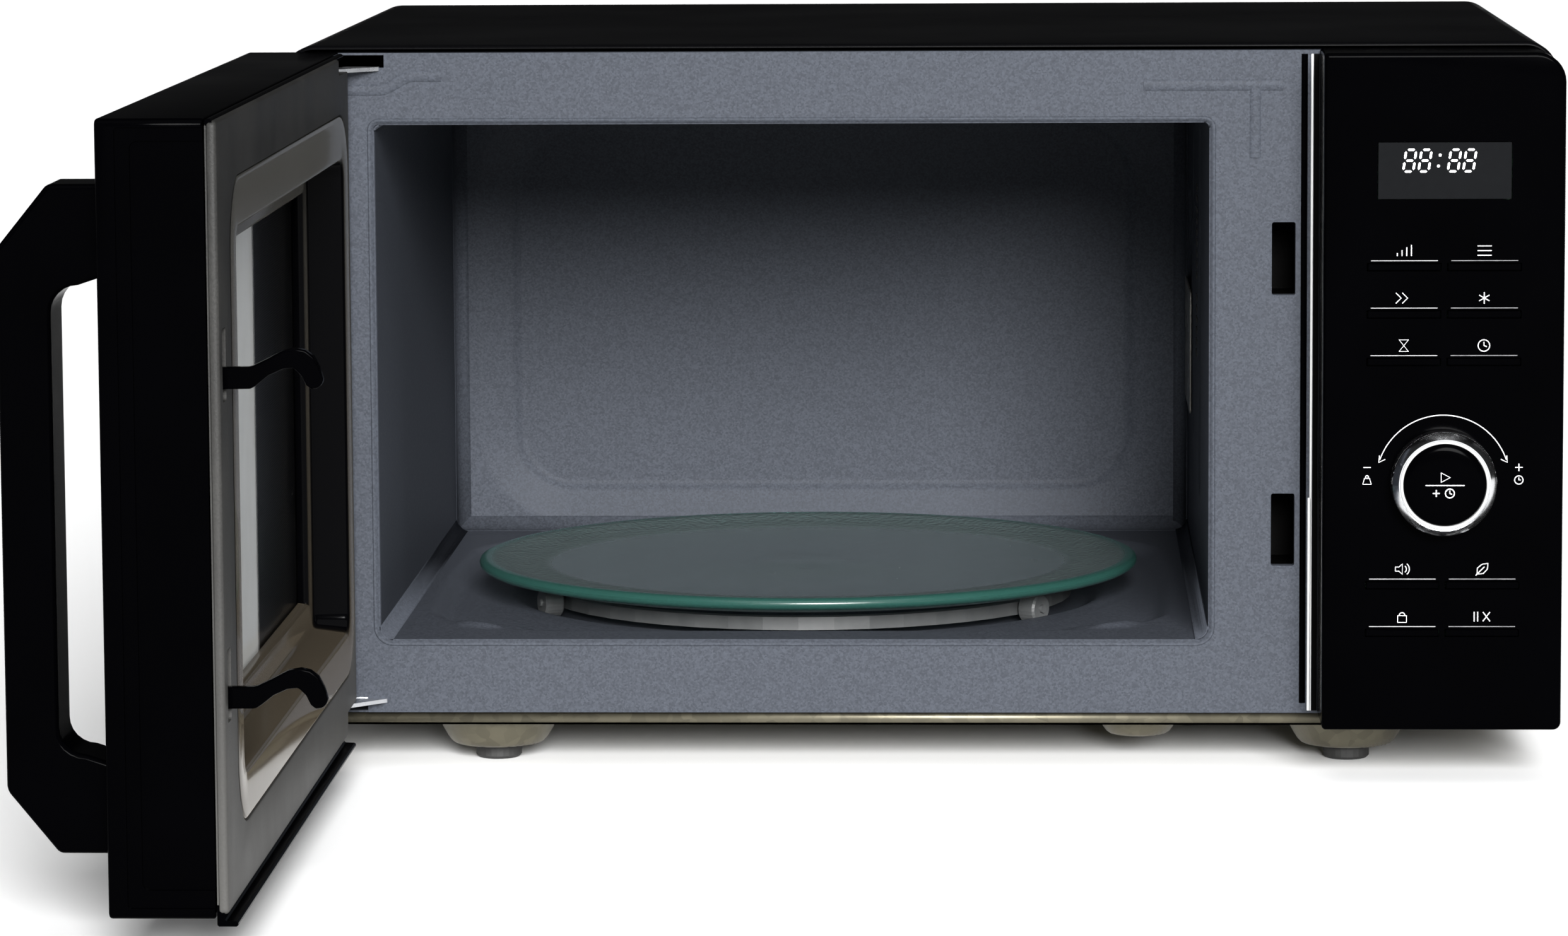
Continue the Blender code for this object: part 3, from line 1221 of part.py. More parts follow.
def control_housing(parent):
    """The moulded panel that holds the display, the buttons and the knob."""
    low = (PANEL_LEFT, PANEL_BOTTOM)
    high = (RIGHT, FRONT_TOP)
    corner = CASE_CORNER - 1 * MM
    outline = rounded(low, high, (1.5 * MM, 3 * MM, corner, 1.5 * MM), 4)
    housing = slab("control_housing", [outline], -FRONT_PROUD, -GAP, "gloss_black", parent)
    wall = PANEL_WALL
    inner = rounded(
        (low[0] + wall, low[1] + wall), (high[0] - wall, high[1] - wall), (1 * MM, 1 * MM, corner - wall, 1 * MM), 3
    )
    cut(housing, slab("inside", [inner], -FRONT_PROUD + wall, 3 * MM, parent=parent))
    rows = row_heights()
    size = PANEL_ROWS[0][1]
    display_low = (PANEL_MIDDLE - DISPLAY_WIDTH / 2, -FRONT_PROUD - 2 * MM, rows["display"] - size / 2)
    display_high = (PANEL_MIDDLE + DISPLAY_WIDTH / 2, -FRONT_PROUD + wall + 2 * MM, rows["display"] + size / 2)
    cut(housing, block("display_opening", display_low, display_high, parent=parent))
    for x, z in button_places():
        slot_low = (x - BUTTON_WIDTH / 2 - 0.3 * MM, -FRONT_PROUD - 2 * MM, z - BUTTON_HEIGHT / 2 - 0.3 * MM)
        slot_high = (x + BUTTON_WIDTH / 2 + 0.3 * MM, -FRONT_PROUD + wall + 2 * MM, z + BUTTON_HEIGHT / 2 + 0.3 * MM)
        cut(housing, block("button_slot", slot_low, slot_high, parent=parent))
    hole = Vector((PANEL_MIDDLE, -FRONT_PROUD - 2 * MM, rows["knob"]))
    cut(housing, rod("knob_hole", 9 * MM, hole, hole + Vector((0, wall + 4 * MM, 0)), parent=parent))
    return housing


def display_window(parent):
    z = row_heights()["display"]
    size = PANEL_ROWS[0][1]
    gap = 0.3 * MM
    low = (PANEL_MIDDLE - DISPLAY_WIDTH / 2 + gap, -FRONT_PROUD + 0.2 * MM, z - size / 2 + gap)
    high = (PANEL_MIDDLE + DISPLAY_WIDTH / 2 - gap, -FRONT_PROUD + 2 * MM, z + size / 2 - gap)
    return block("display_window", low, high, "display", parent)


def button(i, place, parent):
    """A bar-shaped key cap with a flange behind the panel, and a stem towards its switch."""
    x, z = place
    face = -FRONT_PROUD - BUTTON_PROUD
    back = -FRONT_PROUD + PANEL_WALL + GAP + BUTTON_TRAVEL
    half = Vector((BUTTON_WIDTH / 2, 0, BUTTON_HEIGHT / 2))
    centre = Vector((x, 0, z))
    low = centre - half + Vector((0, face, 0))
    high = centre + half + Vector((0, back + 0.5 * MM, 0))
    cap = soften(block(f"button_{i + 1}", low, high, "gloss_black", parent), 0.4 * MM, 1)
    flange = Vector((BUTTON_WIDTH / 2 - 4 * MM, 0, 2.6 * MM))
    flange_low = centre - flange + Vector((0, back, 0))
    flange_high = centre + flange + Vector((0, back + 1 * MM, 0))
    join(cap, block("flange", flange_low, flange_high, parent=parent))
    return cap


def knob_ring(parent):
    """The chrome dial ring, with the skirt that turns the encoder."""
    face = KNOB_PROUD
    start = START_RADIUS + 0.5 * MM
    profile = (
        (start, face - 1.5 * MM),
        (start + 1 * MM, face),
        (KNOB_RADIUS - 1.4 * MM, face),
        (KNOB_RADIUS - 0.4 * MM, face - 1.2 * MM),
        (KNOB_RADIUS, 0.6 * MM),
        (8 * MM, 0.6 * MM),
        (8 * MM, -PANEL_WALL - 3 * MM),
        (6 * MM, -PANEL_WALL - 3 * MM),
        (6 * MM, 3 * MM),
        (start, 3 * MM),
        (start, face - 1.5 * MM),
    )
    place = Vector((PANEL_MIDDLE, -FRONT_PROUD, row_heights()["knob"]))
    return turned("knob_ring", profile, place, "chrome", parent, "Y", 40)


def start_button(parent):
    """The cap in the middle of the dial, which is pressed."""
    face = KNOB_PROUD + 0.2 * MM
    profile = (
        (0, face + 0.8 * MM),
        (START_RADIUS * 0.6, face + 0.5 * MM),
        (START_RADIUS - 1 * MM, face - 0.4 * MM),
        (START_RADIUS, face - 1.4 * MM),
        (START_RADIUS, face - 6 * MM),
        (4.5 * MM, face - 6 * MM),
        (4.5 * MM, -PANEL_WALL - 2 * MM),
        (0, -PANEL_WALL - 2 * MM),
    )
    place = Vector((PANEL_MIDDLE, -FRONT_PROUD, row_heights()["knob"]))
    return turned("start_button", profile, place, "gloss_black", parent, "Y", 40)


def control_board(parent):
    """The printed board behind the panel, with the display module and the encoder on it."""
    front = -FRONT_PROUD + PANEL_WALL + 12 * MM
    low = (PANEL_LEFT + 8 * MM, front, PANEL_BOTTOM + 14 * MM)
    high = (RIGHT - 8 * MM, front + 1.6 * MM, FRONT_TOP - 18 * MM)
    board = block("control_board", low, high, "board_green", parent)
    rows = row_heights()
    module_low = (PANEL_MIDDLE - 23 * MM, -FRONT_PROUD + 4.5 * MM, rows["display"] - 10 * MM)
    module_high = (PANEL_MIDDLE + 23 * MM, front + 0.5 * MM, rows["display"] + 10 * MM)
    join(board, block("display_module", module_low, module_high, parent=parent))
    relay = rows["row_2"]
    for x in (-22 * MM, 4 * MM):
        relay_low = (PANEL_MIDDLE + x, front + 1 * MM, relay - 9 * MM)
        relay_high = (PANEL_MIDDLE + x + 18 * MM, front + 14 * MM, relay + 9 * MM)
        join(board, block("relay", relay_low, relay_high, parent=parent))
    encoder_front = front - GAP - 3 * MM
    z = rows["knob"]
    encoder_low = (PANEL_MIDDLE - 7.5 * MM, encoder_front, z - 7.5 * MM)
    encoder_high = (PANEL_MIDDLE + 7.5 * MM, front - GAP, z + 7.5 * MM)
    return board, block("encoder", encoder_low, encoder_high, "galvanised", parent)


# ---- Assembly ----


def seat_on_origin(root):
    """Moves the whole oven so that its origin is the bottom centre of its box."""
    bpy.context.view_layer.update()
    graph = bpy.context.evaluated_depsgraph_get()
    corners = []
    for piece in bpy.data.collections[PARTS].objects:
        if piece.type == "MESH":
            solid = piece.evaluated_get(graph)
            corners += [solid.matrix_world @ Vector(corner) for corner in solid.bound_box]
    low = [min(corner[axis] for corner in corners) for axis in range(3)]
    high = [max(corner[axis] for corner in corners) for axis in range(3)]
    root.location = (-middle_of(low[0], high[0]), -middle_of(low[1], high[1]), -low[2])


def build_cabinet(root):
    outer_case(root)
    front_plate(root)
    cavity_liner(root)
    mica_cover(root)
    base_plate(root)
    feet(root)
    rear_panel(root)
    cord_gland(root)
    hinge("hinge_upper", HINGE_TOP, True, root)
    hinge("hinge_lower", HINGE_BOTTOM, False, root)


def build_works(root):
    waveguide(root)
    magnetron(root)
    transformer(root)
    capacitor(root)
    hv_diode(root)
    fan(root, pivot("fan_axis", fan_centre(), root))
    cavity_lamp(root)
    filter_board(root)
    latch_bracket(root)
    turntable_motor(root)


def build_door(root):
    swing = pivot("door_axis", HINGE, root)
    door_frame(swing)
    door_glass(swing)
    door_inner_panel(swing)
    window_film(swing)
    choke_cover(swing)
    handle(swing)
    latch = pivot("latch_axis", (SLOT_X, COVER_BACK, SLOT_HEIGHTS[0]), swing)
    latch_hooks(latch)
    latch_spring(swing)
    swing.rotation_euler.z = math.radians(-DOOR_OPEN_DEG)


def build_turntable(root):
    turn = pivot("turntable_axis", TURN_CENTRE, root)
    turntable_coupler(turn)
    glass_tray(turn)
    ring = pivot("roller_ring_axis", TURN_CENTRE, root)
    roller_ring(ring)
    axle_z = TRACK_FLOOR + ROLLER_RADIUS + GAP / 2
    for i in range(3):
        place = TURN_CENTRE + roller_direction(i) * ROLLER_CIRCLE + Vector((0, 0, axle_z))
        roller_wheel(i, pivot(f"roller_axis_{i + 1}", place, ring))


def build_controls(root):
    control_housing(root)
    display_window(root)
    control_board(root)
    for i, (x, z) in enumerate(button_places()):
        button(i, (x, z), pivot(f"button_axis_{i + 1}", (x, -FRONT_PROUD, z), root))
    place = (PANEL_MIDDLE, -FRONT_PROUD, row_heights()["knob"])
    knob_ring(pivot("knob_axis", place, root))
    start_button(pivot("start_axis", place, root))


def main():
    clear_scene()
    root = pivot("oven", (0, 0, 0))
    build_cabinet(root)
    build_works(root)
    build_door(root)
    build_turntable(root)
    build_controls(root)
    seat_on_origin(root)


main()
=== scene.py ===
"""The looks of a counter-top microwave oven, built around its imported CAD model.

Lengths are in metres. A piece of the door is made in the door's closed place, and then
turned with it about its hinge to the open place in which the model rests.
"""

import json
import math

import bmesh
import bpy
import numpy as np
from bpy.props import FloatProperty, FloatVectorProperty, IntProperty, PointerProperty
from mathutils import Matrix, Vector

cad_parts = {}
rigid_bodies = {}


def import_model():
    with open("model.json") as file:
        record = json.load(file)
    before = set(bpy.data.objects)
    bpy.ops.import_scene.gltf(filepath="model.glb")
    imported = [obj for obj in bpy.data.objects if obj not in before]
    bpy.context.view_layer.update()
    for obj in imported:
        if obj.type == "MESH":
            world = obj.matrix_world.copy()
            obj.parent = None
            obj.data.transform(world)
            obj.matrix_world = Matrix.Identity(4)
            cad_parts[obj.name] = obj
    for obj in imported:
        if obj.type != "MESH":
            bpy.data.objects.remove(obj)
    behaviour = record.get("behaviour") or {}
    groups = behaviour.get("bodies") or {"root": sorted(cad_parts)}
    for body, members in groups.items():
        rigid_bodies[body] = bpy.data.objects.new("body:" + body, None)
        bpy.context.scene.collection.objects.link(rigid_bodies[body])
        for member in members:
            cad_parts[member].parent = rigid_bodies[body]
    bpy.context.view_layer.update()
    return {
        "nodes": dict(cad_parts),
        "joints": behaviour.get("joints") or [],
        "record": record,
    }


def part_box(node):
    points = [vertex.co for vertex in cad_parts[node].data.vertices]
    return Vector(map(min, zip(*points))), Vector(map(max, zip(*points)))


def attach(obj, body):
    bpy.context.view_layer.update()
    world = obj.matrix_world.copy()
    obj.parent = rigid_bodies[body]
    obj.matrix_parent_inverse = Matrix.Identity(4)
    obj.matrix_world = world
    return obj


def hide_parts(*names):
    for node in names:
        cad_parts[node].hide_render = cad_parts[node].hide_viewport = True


bl_info = {
    "name": "Microwave Oven",
    "version": (1, 0, 0),
    "blender": (4, 5, 0),
    "location": "3D View > Sidebar > Oven",
    "description": "Builds the finish and the fine shapes of a microwave oven on its CAD frame",
    "category": "Object",
}

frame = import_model()
NODES = frame["nodes"]
MM = 0.001

# ---- Places, all taken from the CAD nodes ----

CASE_LOW, CASE_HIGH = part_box("outer_case")
PLATE_LOW, PLATE_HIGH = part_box("front_plate")
LINER_LOW, LINER_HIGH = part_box("cavity_liner")
PANEL_LOW, PANEL_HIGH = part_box("control_housing")
TRAY_LOW, TRAY_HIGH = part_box("glass_tray")
BASE_LOW, BASE_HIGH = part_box("base_plate")
MICA_LOW, MICA_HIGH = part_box("mica_cover")
JOINTS = {joint["name"]: joint for joint in frame["joints"]}
HINGE = Vector(JOINTS["door_hinge"]["pos_m"])
QUARTER_TURN = Matrix.Rotation(math.radians(-90), 4, "Z")
SWING = Matrix.Translation(HINGE) @ QUARTER_TURN @ Matrix.Translation(-HINGE)
SHEET = 0.8 * MM
FACE = PLATE_LOW.y
SILL = PLATE_LOW.z
SWING_RADIUS = 13.5 * MM
UPPER_HINGE_INSET = 7.5 * MM
LOWER_HINGE_INSET = 8 * MM
HOOK_HEIGHTS = (SILL + 176.3 * MM, SILL + 71.5 * MM)
SLOT_WIDTH = 9 * MM
SLOT_HEIGHT = 28 * MM
COVER_GAP = 0.8 * MM
TRIM_PROUD = 0.7 * MM

# ---- The view and its light ----

YAW, PITCH, ROLL = -0.0404, -0.1212, -0.0058
EYE = Vector((0.287465, -2.364395, 0.383849))
SENSOR_WIDTH = 36.0
FOCAL_LENGTH = 141.76
WORLD_LIGHT = 0.02
WORLD_SEEN = 1.0
SUNS = (
    ("high_panel", 1.1, 55, (0.2, -1.6, 3.0)),
    ("low_panel", 8.6, 20, (0.42, -3.0, 1.12)),
)
STRIPS = (("left_strip", (-1.9, -1.2, 1.1)), ("right_strip", (2.0, -0.7, 1.0)))


def closed_box(node):
    """A door node's corners where it stands with the door closed."""
    low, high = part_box(node)
    back = SWING.inverted()
    corners = [
        back @ Vector((x, y, z)) for x in (low.x, high.x) for y in (low.y, high.y) for z in (low.z, high.z)
    ]
    return tuple(
        Vector([pick(corner[axis] for corner in corners) for axis in range(3)]) for pick in (min, max)
    )


DOOR_LOW, DOOR_HIGH = closed_box("door_frame")
COVER_LOW, COVER_HIGH = closed_box("choke_cover")
HANDLE_LOW, HANDLE_HIGH = closed_box("handle")
HOOK_LOW, HOOK_HIGH = closed_box("latch_hooks")

CAVITY_LEFT = LINER_LOW.x + SHEET
CAVITY_RIGHT = LINER_HIGH.x - SHEET
CAVITY_TOP = LINER_HIGH.z - SHEET
CAVITY_REAR = LINER_HIGH.y - SHEET
CAVITY_FLOOR = SILL + 28.6 * MM
TRACK_FLOOR = LINER_LOW.z + SHEET
TURN_CENTRE = Vector(JOINTS["coupler_spin"]["pos_m"])


# ---- Settings ----


class OvenSizes(bpy.types.PropertyGroup):
    """Sizes of the fine shapes."""

    mouth_corner: FloatProperty(
        name="Mouth corner", description="Radius of the mouth's lower corners", default=5 * MM, unit="LENGTH"
    )
    bead: FloatProperty(
        name="Bead", description="Radius of the bead round the mouth", default=0.7 * MM, unit="LENGTH"
    )
    dish_depth: FloatProperty(
        name="Dish depth",
        description="Depth of the dish pressed in the rear wall",
        default=5 * MM,
        unit="LENGTH",
    )
    wall_fillet: FloatProperty(
        name="Wall fillet", description="Radius between the cavity's walls", default=6 * MM, unit="LENGTH"
    )
    screen_pitch: FloatProperty(
        name="Screen pitch",
        description="Spacing of the holes in the door's screen",
        default=1.7 * MM,
        unit="LENGTH",
    )
    round_steps: IntProperty(
        name="Round steps", description="Segments of the turned pieces", default=128, min=16
    )


class OvenColours(bpy.types.PropertyGroup):
    """Colours of the finishes."""

    gloss: FloatVectorProperty(
        name="Gloss black", description="Moulded gloss black", default=(
            0.0003, 0.0003, 0.00045
        ), subtype="COLOR"
    )
    enamel: FloatVectorProperty(
        name="Enamel", description="Grey-blue of the cavity and its front", default=(
            0.042, 0.0465, 0.0565
        ), subtype="COLOR"
    )
    zinc: FloatVectorProperty(
        name="Zinc", description="Warm grey of the base pan", default=(0.118, 0.108, 0.078), subtype="COLOR"
    )
    display: FloatVectorProperty(
        name="Display", description="Filter over the display", default=(
            0.00525, 0.00555, 0.0061
        ), subtype="COLOR"
    )
    mark: FloatVectorProperty(
        name="Marks", description="Printed marks", default=(0.85, 0.86, 0.88), subtype="COLOR"
    )
    floor: FloatVectorProperty(
        name="Floor", description="The stage's floor", default=(0.97, 0.97, 0.97), subtype="COLOR"
    )


def sizes():
    return bpy.context.scene.oven_sizes


def colours():
    return bpy.context.scene.oven_colours


def shade(colour, share):
    """A colour made darker or lighter."""
    return tuple(share * part for part in colour)


# ---- Shader expressions ----


class Value:
    """A shader socket that takes part in Python's sums. Each sum adds a Math node."""

    def __init__(self, finish, socket):
        self.finish = finish
        self.socket = socket

    def maths(self, operation, first, second=0.0):
        return self.finish.node("ShaderNodeMath", {"operation": operation}, {0: first, 1: second})

    def __add__(self, other):
        return self.maths("ADD", self, other)

    def __sub__(self, other):
        return self.maths("SUBTRACT", self, other)

    def __rsub__(self, other):
        return self.maths("SUBTRACT", other, self)

    def __mul__(self, other):
        return self.maths("MULTIPLY", self, other)

    def __truediv__(self, other):
        return self.maths("DIVIDE", self, other)

    def __rtruediv__(self, other):
        return self.maths("DIVIDE", other, self)

    def __pow__(self, other):
        return self.maths("POWER", self, other)

    __radd__ = __add__
    __rmul__ = __mul__


class Finish:
    """A procedural material under construction."""

    def __init__(self, name, **constants):
        self.material = bpy.data.materials.new(name)
        self.material.use_nodes = True
        self.tree = self.material.node_tree
        self.shader = self.tree.nodes["Principled BSDF"]
        for socket, value in constants.items():
            self.feed(socket.replace("_", " "), value)

    def plug(self, socket, value):
        if isinstance(value, Value):
            self.tree.links.new(value.socket, socket)
        elif socket.type == "RGBA":
            socket.default_value = (*value[:3], 1)
        else:
            socket.default_value = value

    def feed(self, socket, value):
        self.plug(self.shader.inputs[socket], value)

    def node(self, kind, settings=None, inputs=None, output=0):
        """Adds a node: first its settings, then the values or links of its sockets."""
        made = self.tree.nodes.new(kind)
        for key, value in (settings or {}).items():
            if key == "stops":
                self.set_stops(made.color_ramp, value)
            else:
                setattr(made, key, value)
        for key, value in (inputs or {}).items():
            self.plug(made.inputs[key], value)
        return Value(self, made.outputs[output])

    @staticmethod
    def set_stops(ramp, stops):
        while len(ramp.elements) < len(stops):
            ramp.elements.new(0.5)
        for element, (place, colour) in zip(ramp.elements, stops):
            element.position = place
            element.color = (*colour, 1) if len(colour) == 3 else colour

    def place(self, scale=(1, 1, 1)):
        """A point on the piece, in metres, with each axis scaled."""
        where = self.node("ShaderNodeTexCoord", output="Object")
        return self.node("ShaderNodeMapping", {}, {"Vector": where, "Scale": scale})

    def noise(self, scale, detail=3.0, stretch=(1, 1, 1)):
        return self.node(
            "ShaderNodeTexNoise", {}, {
                "Vector": self.place(stretch), "Scale": scale, "Detail": detail
            }, "Fac"
        )

    def cells(self, scale, output="Distance"):
        return self.node("ShaderNodeTexVoronoi", {}, {"Vector": self.place(), "Scale": scale}, output)

    def ramp(self, value, stops):
        return self.node("ShaderNodeValToRGB", {"stops": stops}, {0: value})

    def mix(self, share, first, second):
        """A mix of two colours."""
        return self.node("ShaderNodeMix", {"data_type": "RGBA"}, {0: share, 6: first, 7: second}, 2)

    def flakes(self, scale):
        """Flat cells, each with its own random shade."""
        return self.node("ShaderNodeSeparateColor", {}, {0: self.cells(scale, "Color")})

    def along(self, axis):
        """How far a point lies along an axis of the piece, in metres."""
        return self.node("ShaderNodeSeparateXYZ", {}, {0: self.place()}, axis)

    def low_down(self):
        """One near the door's lower edge, and zero near its top."""
        return self.along("Z") * (-1 / (DOOR_HIGH.z - DOOR_LOW.z)) + 1.05

    def cosine(self, value):
        return self.node("ShaderNodeMath", {"operation": "COSINE"}, {0: value})

    def tone(self, share, dark, light):
        """Base colour that wanders between two colours."""
        self.feed("Base Color", self.mix(share, dark, light))

    def along_the_face(self, power):
        """One where the surface is seen edge on, and zero where it is seen face on."""
        return self.node("ShaderNodeLayerWeight", {}, {"Blend": 0.5}, "Facing") ** power

    def bump(self, height, distance, strength=1.0):
        normal = self.node(
            "ShaderNodeBump", {}, {"Height": height, "Distance": distance, "Strength": strength}
        )
        self.feed("Normal", normal)
        return self

    def smudged(self, low, high, scale=14.0):
        """Roughness that wanders between two values, as on a wiped surface."""
        self.feed("Roughness", self.noise(scale, 4.0) * (2 * (high - low)) + (1.5 * low - 0.5 * high))


def gloss_black():
    """Moulded black with a high polish, faint wiping marks and a trace of dust."""
    made = Finish("gloss_black", Specular_IOR_Level=0.006)
    made.smudged(0.08, 0.17)
    dust = made.ramp(made.cells(620.0), [(0.0, (1, 1, 1)), (0.035, (0, 0, 0))])
    base = made.mix(made.noise(30.0, 2.0), shade(colours().gloss, 2 / 3), shade(colours().gloss, 4 / 3))
    made.tone(dust * 0.006, base, (0.1, 0.1, 0.1))
    return made.bump(made.noise(90.0, 2.0), 0.00002, 0.25)


def frame_gloss():
    """High-gloss black of the door's inner frame, with a painted reflection: it turns pale where it is seen
    along its face, and khaki towards the bottom.
    """
    made = Finish("frame_gloss", Specular_IOR_Level=0.03)
    # Painted reflection: pale grey high up and khaki low down, mixed in where the frame is seen along its
    # face.
    painted_reflection_mask = made.along_the_face(7.0)
    upper_reflection_tone = made.mix(made.noise(9.0, 2.0), (0.175, 0.175, 0.165), (0.225, 0.225, 0.210))
    tone = made.mix(made.low_down(), upper_reflection_tone, (0.26, 0.205, 0.135))
    made.tone(painted_reflection_mask, (0.0006, 0.0006, 0.0008), tone)
    made.feed("Roughness", made.noise(40.0, 3.0) * 0.08 + 0.06)
    return made


def painted_edge_highlight():
    """A painted highlight: a pale, grained colour on a sheared and folded edge."""
    made = Finish("painted_edge_highlight", Metallic=0.2)
    grain = made.noise(500.0, 3.0, (1, 1, 0.06))
    # Painted highlight: the pale colour stands in for the light that the edge reflects.
    made.tone(grain, (0.52, 0.53, 0.54), (0.82, 0.82, 0.81))
    made.feed("Roughness", grain * 0.2 + 0.3)
    return made


def painted_key_highlight():
    """A painted highlight on the black moulding of a key: an uneven grey."""
    made = Finish("painted_key_highlight", Roughness=0.3)
    # Painted highlight: the grey stands in for the light on the key's upper edge.
    made.tone(made.noise(260.0, 3.0), (0.05, 0.05, 0.055), (0.42, 0.42, 0.43))
    return made


def case_black():
    """Baked gloss paint on sheet steel, with its slight orange peel."""
    made = Finish("case_paint", Specular_IOR_Level=0.012)
    made.smudged(0.18, 0.3, 9.0)
    peel = made.noise(420.0, 2.0)
    made.tone(made.noise(700.0, 1.0), (0.0008, 0.0008, 0.0010), (0.0016, 0.0016, 0.0019))
    return made.bump(peel, 0.00006, 0.35)


def textured_black():
    """Black moulding with a spark-eroded grain."""
    made = Finish("textured_black", Specular_IOR_Level=0.02)
    grain = made.noise(1500.0, 4.0)
    made.tone(grain, (0.0005, 0.0005, 0.0005), (0.0022, 0.0021, 0.0020))
    made.feed("Roughness", made.noise(60.0, 3.0) * 0.2 + 0.55)
    return made.bump(grain, 0.00012, 0.55)


def grained_cover():
    """The door's inner cover: black moulding with a coarse grain, and painted light that brightens it
    towards the bottom.
    """
    made = Finish("grained_cover", Specular_IOR_Level=0.15)
    grain = made.noise(1300.0, 4.0)
    wiped = made.noise(24.0, 4.0)
    tone = made.mix(grain * wiped, (0.009, 0.009, 0.0088), (0.05, 0.049, 0.046))
    # Painted light: a lighter colour mixed in towards the cover's lower edge.
    made.tone(made.low_down() ** 2.0 * 0.5, tone, (0.10, 0.098, 0.093))
    made.feed("Roughness", wiped * 0.25 + 0.4)
    return made.bump(grain, 0.00014, 0.6)


def enamel():
    """Grey-blue metallic enamel: a fine speckle of flakes under a satin skin."""
    made = Finish("enamel", Metallic=0.02, Specular_IOR_Level=0.04)
    sparkle = made.flakes(1450.0)
    tone = colours().enamel
    grain = made.mix(sparkle, shade(tone, 0.74), shade(tone, 1.3))
    made.tone(made.noise(2600.0, 2.0) * 0.5, grain, tone)
    made.feed("Roughness", sparkle * 0.12 + 0.44)
    return made.bump(made.noise(900.0, 3.0), 0.00005, 0.3)


def galvanised():
    """Zinc coating on the base pan: broad pale spangles with a rolled grain."""
    made = Finish("galvanised", Metallic=0.75)
    spangle = made.flakes(210.0)
    made.tone(spangle, shade(colours().zinc, 0.82), shade(colours().zinc, 1.12))
    rolled = made.noise(300.0, 3.0, (1, 0.06, 1))
    made.feed("Roughness", rolled * 0.18 + 0.3 + spangle * 0.05)
    return made.bump(rolled, 0.00003, 0.3)


def bright_zinc():
    """Blue-bright plating on the small pressed pieces."""
    made = Finish("bright_zinc", Metallic=1.0)
    made.tone(made.noise(240.0, 3.0), (0.5, 0.52, 0.55), (0.75, 0.76, 0.78))
    made.smudged(0.18, 0.36, 120.0)
    return made.bump(made.noise(600.0, 2.0), 0.00003, 0.3)


def chrome():
    """Bright plating on the dial, spun to a very fine grain."""
    made = Finish("chrome", Metallic=1.0)
    made.feed("Roughness", made.noise(700.0, 2.0, (1, 0.05, 1)) * 0.1 + 0.1)
    made.tone(made.noise(30.0, 2.0), (0.72, 0.73, 0.75), (0.84, 0.85, 0.86))
    return made


def tray_glass():
    """Pressed soda glass with a green body. A band inside the rim is stippled."""
    made = Finish("tray_glass", Transmission_Weight=0.78, Specular_IOR_Level=0.04)
    centre = (TURN_CENTRE.x, TURN_CENTRE.y, TRAY_LOW.z)
    out = made.node(
        "ShaderNodeVectorMath", {"operation": "DISTANCE"}, {0: made.place(), 1: centre}, "Value"
    )  # fmt: skip
    reach = (TRAY_HIGH.x - TRAY_LOW.x) / 2
    band = made.ramp(
        out / reach,
        [(0.0, (0, 0, 0)), (0.78, (0, 0, 0)), (0.81, (1, 1, 1)), (0.95, (1, 1, 1)), (0.97, (0, 0, 0))],
    )
    stipple = made.cells(430.0)
    body = made.mix(made.noise(50.0, 2.0), (0.16, 0.215, 0.215), (0.22, 0.28, 0.28))
    green = made.ramp(out / reach, [(0.0, (0, 0, 0)), (0.955, (0, 0, 0)), (0.975, (1, 1, 1))])
    made.tone(green, body, (0.05, 0.19, 0.155))
    made.feed("Roughness", band * 0.25 + made.noise(260.0, 3.0) * 0.12 + 0.18)
    return made.bump(stipple * band, 0.0009, 0.8)


def dark_glass():
    """Black-backed toughened glass."""
    made = Finish("dark_glass", Specular_IOR_Level=0.02)
    made.smudged(0.02, 0.09, 20.0)
    made.tone(made.noise(12.0, 2.0), (0.0004, 0.0004, 0.0006), (0.0008, 0.0008, 0.0011))
    return made


def screen_sheet():
    """The perforated screen behind the door's film: rows of small round holes in black steel."""
    made = Finish("screen_sheet", Metallic=0.4)
    wave = 2 * math.pi / sizes().screen_pitch
    grid = made.cosine(made.along("Y") * wave) * made.cosine(made.along("Z") * wave)
    hole = made.node("ShaderNodeMath", {"operation": "GREATER_THAN"}, {0: grid, 1: 0.12})
    made.tone(hole, (0.0015, 0.0015, 0.0018), (0.014, 0.014, 0.0135))
    made.feed("Roughness", hole * -0.2 + 0.34)
    return made.bump(hole, 0.0002, 0.5)


def film():
    """The clear film over the screen, glossy and not quite flat. A painted reflection makes a fixed band of
    it pale and less clear where it is seen along its face.
    """
    made = Finish("window_film", Specular_IOR_Level=0.3)
    # Painted reflection: a fixed band of the film turns pale where it is seen along its face, and this also
    # sets how clear the film is.
    where = made.along("Y")
    near = SWING @ Vector((CAVITY_RIGHT - 30 * MM, 0, 0))
    share = made.ramp((where - near.y) / 0.2, [(0.0, (1, 1, 1)), (0.8, (1, 1, 1)), (0.835, (0, 0, 0))])
    pale = made.along_the_face(3.0) * share * 1.35
    made.tone(pale, (0.0015, 0.0015, 0.0018), (0.72, 0.73, 0.71))
    made.feed("Alpha", pale * 0.75 + 0.12)
    made.feed("Roughness", made.noise(60.0, 3.0) * 0.08 + 0.02)
    return made.bump(made.noise(22.0, 2.0), 0.0006, 0.35)


def pale_plastic():
    """Natural heat-proof plastic of the rollers."""
    made = Finish("pale_plastic")
    made.tone(made.noise(160.0, 3.0), (0.05, 0.052, 0.054), (0.085, 0.088, 0.088))
    made.smudged(0.3, 0.5, 90.0)
    return made.bump(made.noise(800.0, 2.0), 0.00004, 0.3)


def white_plastic():
    """Off-white moulded nylon of the inner works."""
    made = Finish("white_plastic", Roughness=0.5)
    made.tone(made.noise(120.0, 3.0), (0.6, 0.59, 0.55), (0.74, 0.73, 0.69))
    return made.bump(made.noise(700.0, 3.0), 0.00005, 0.3)


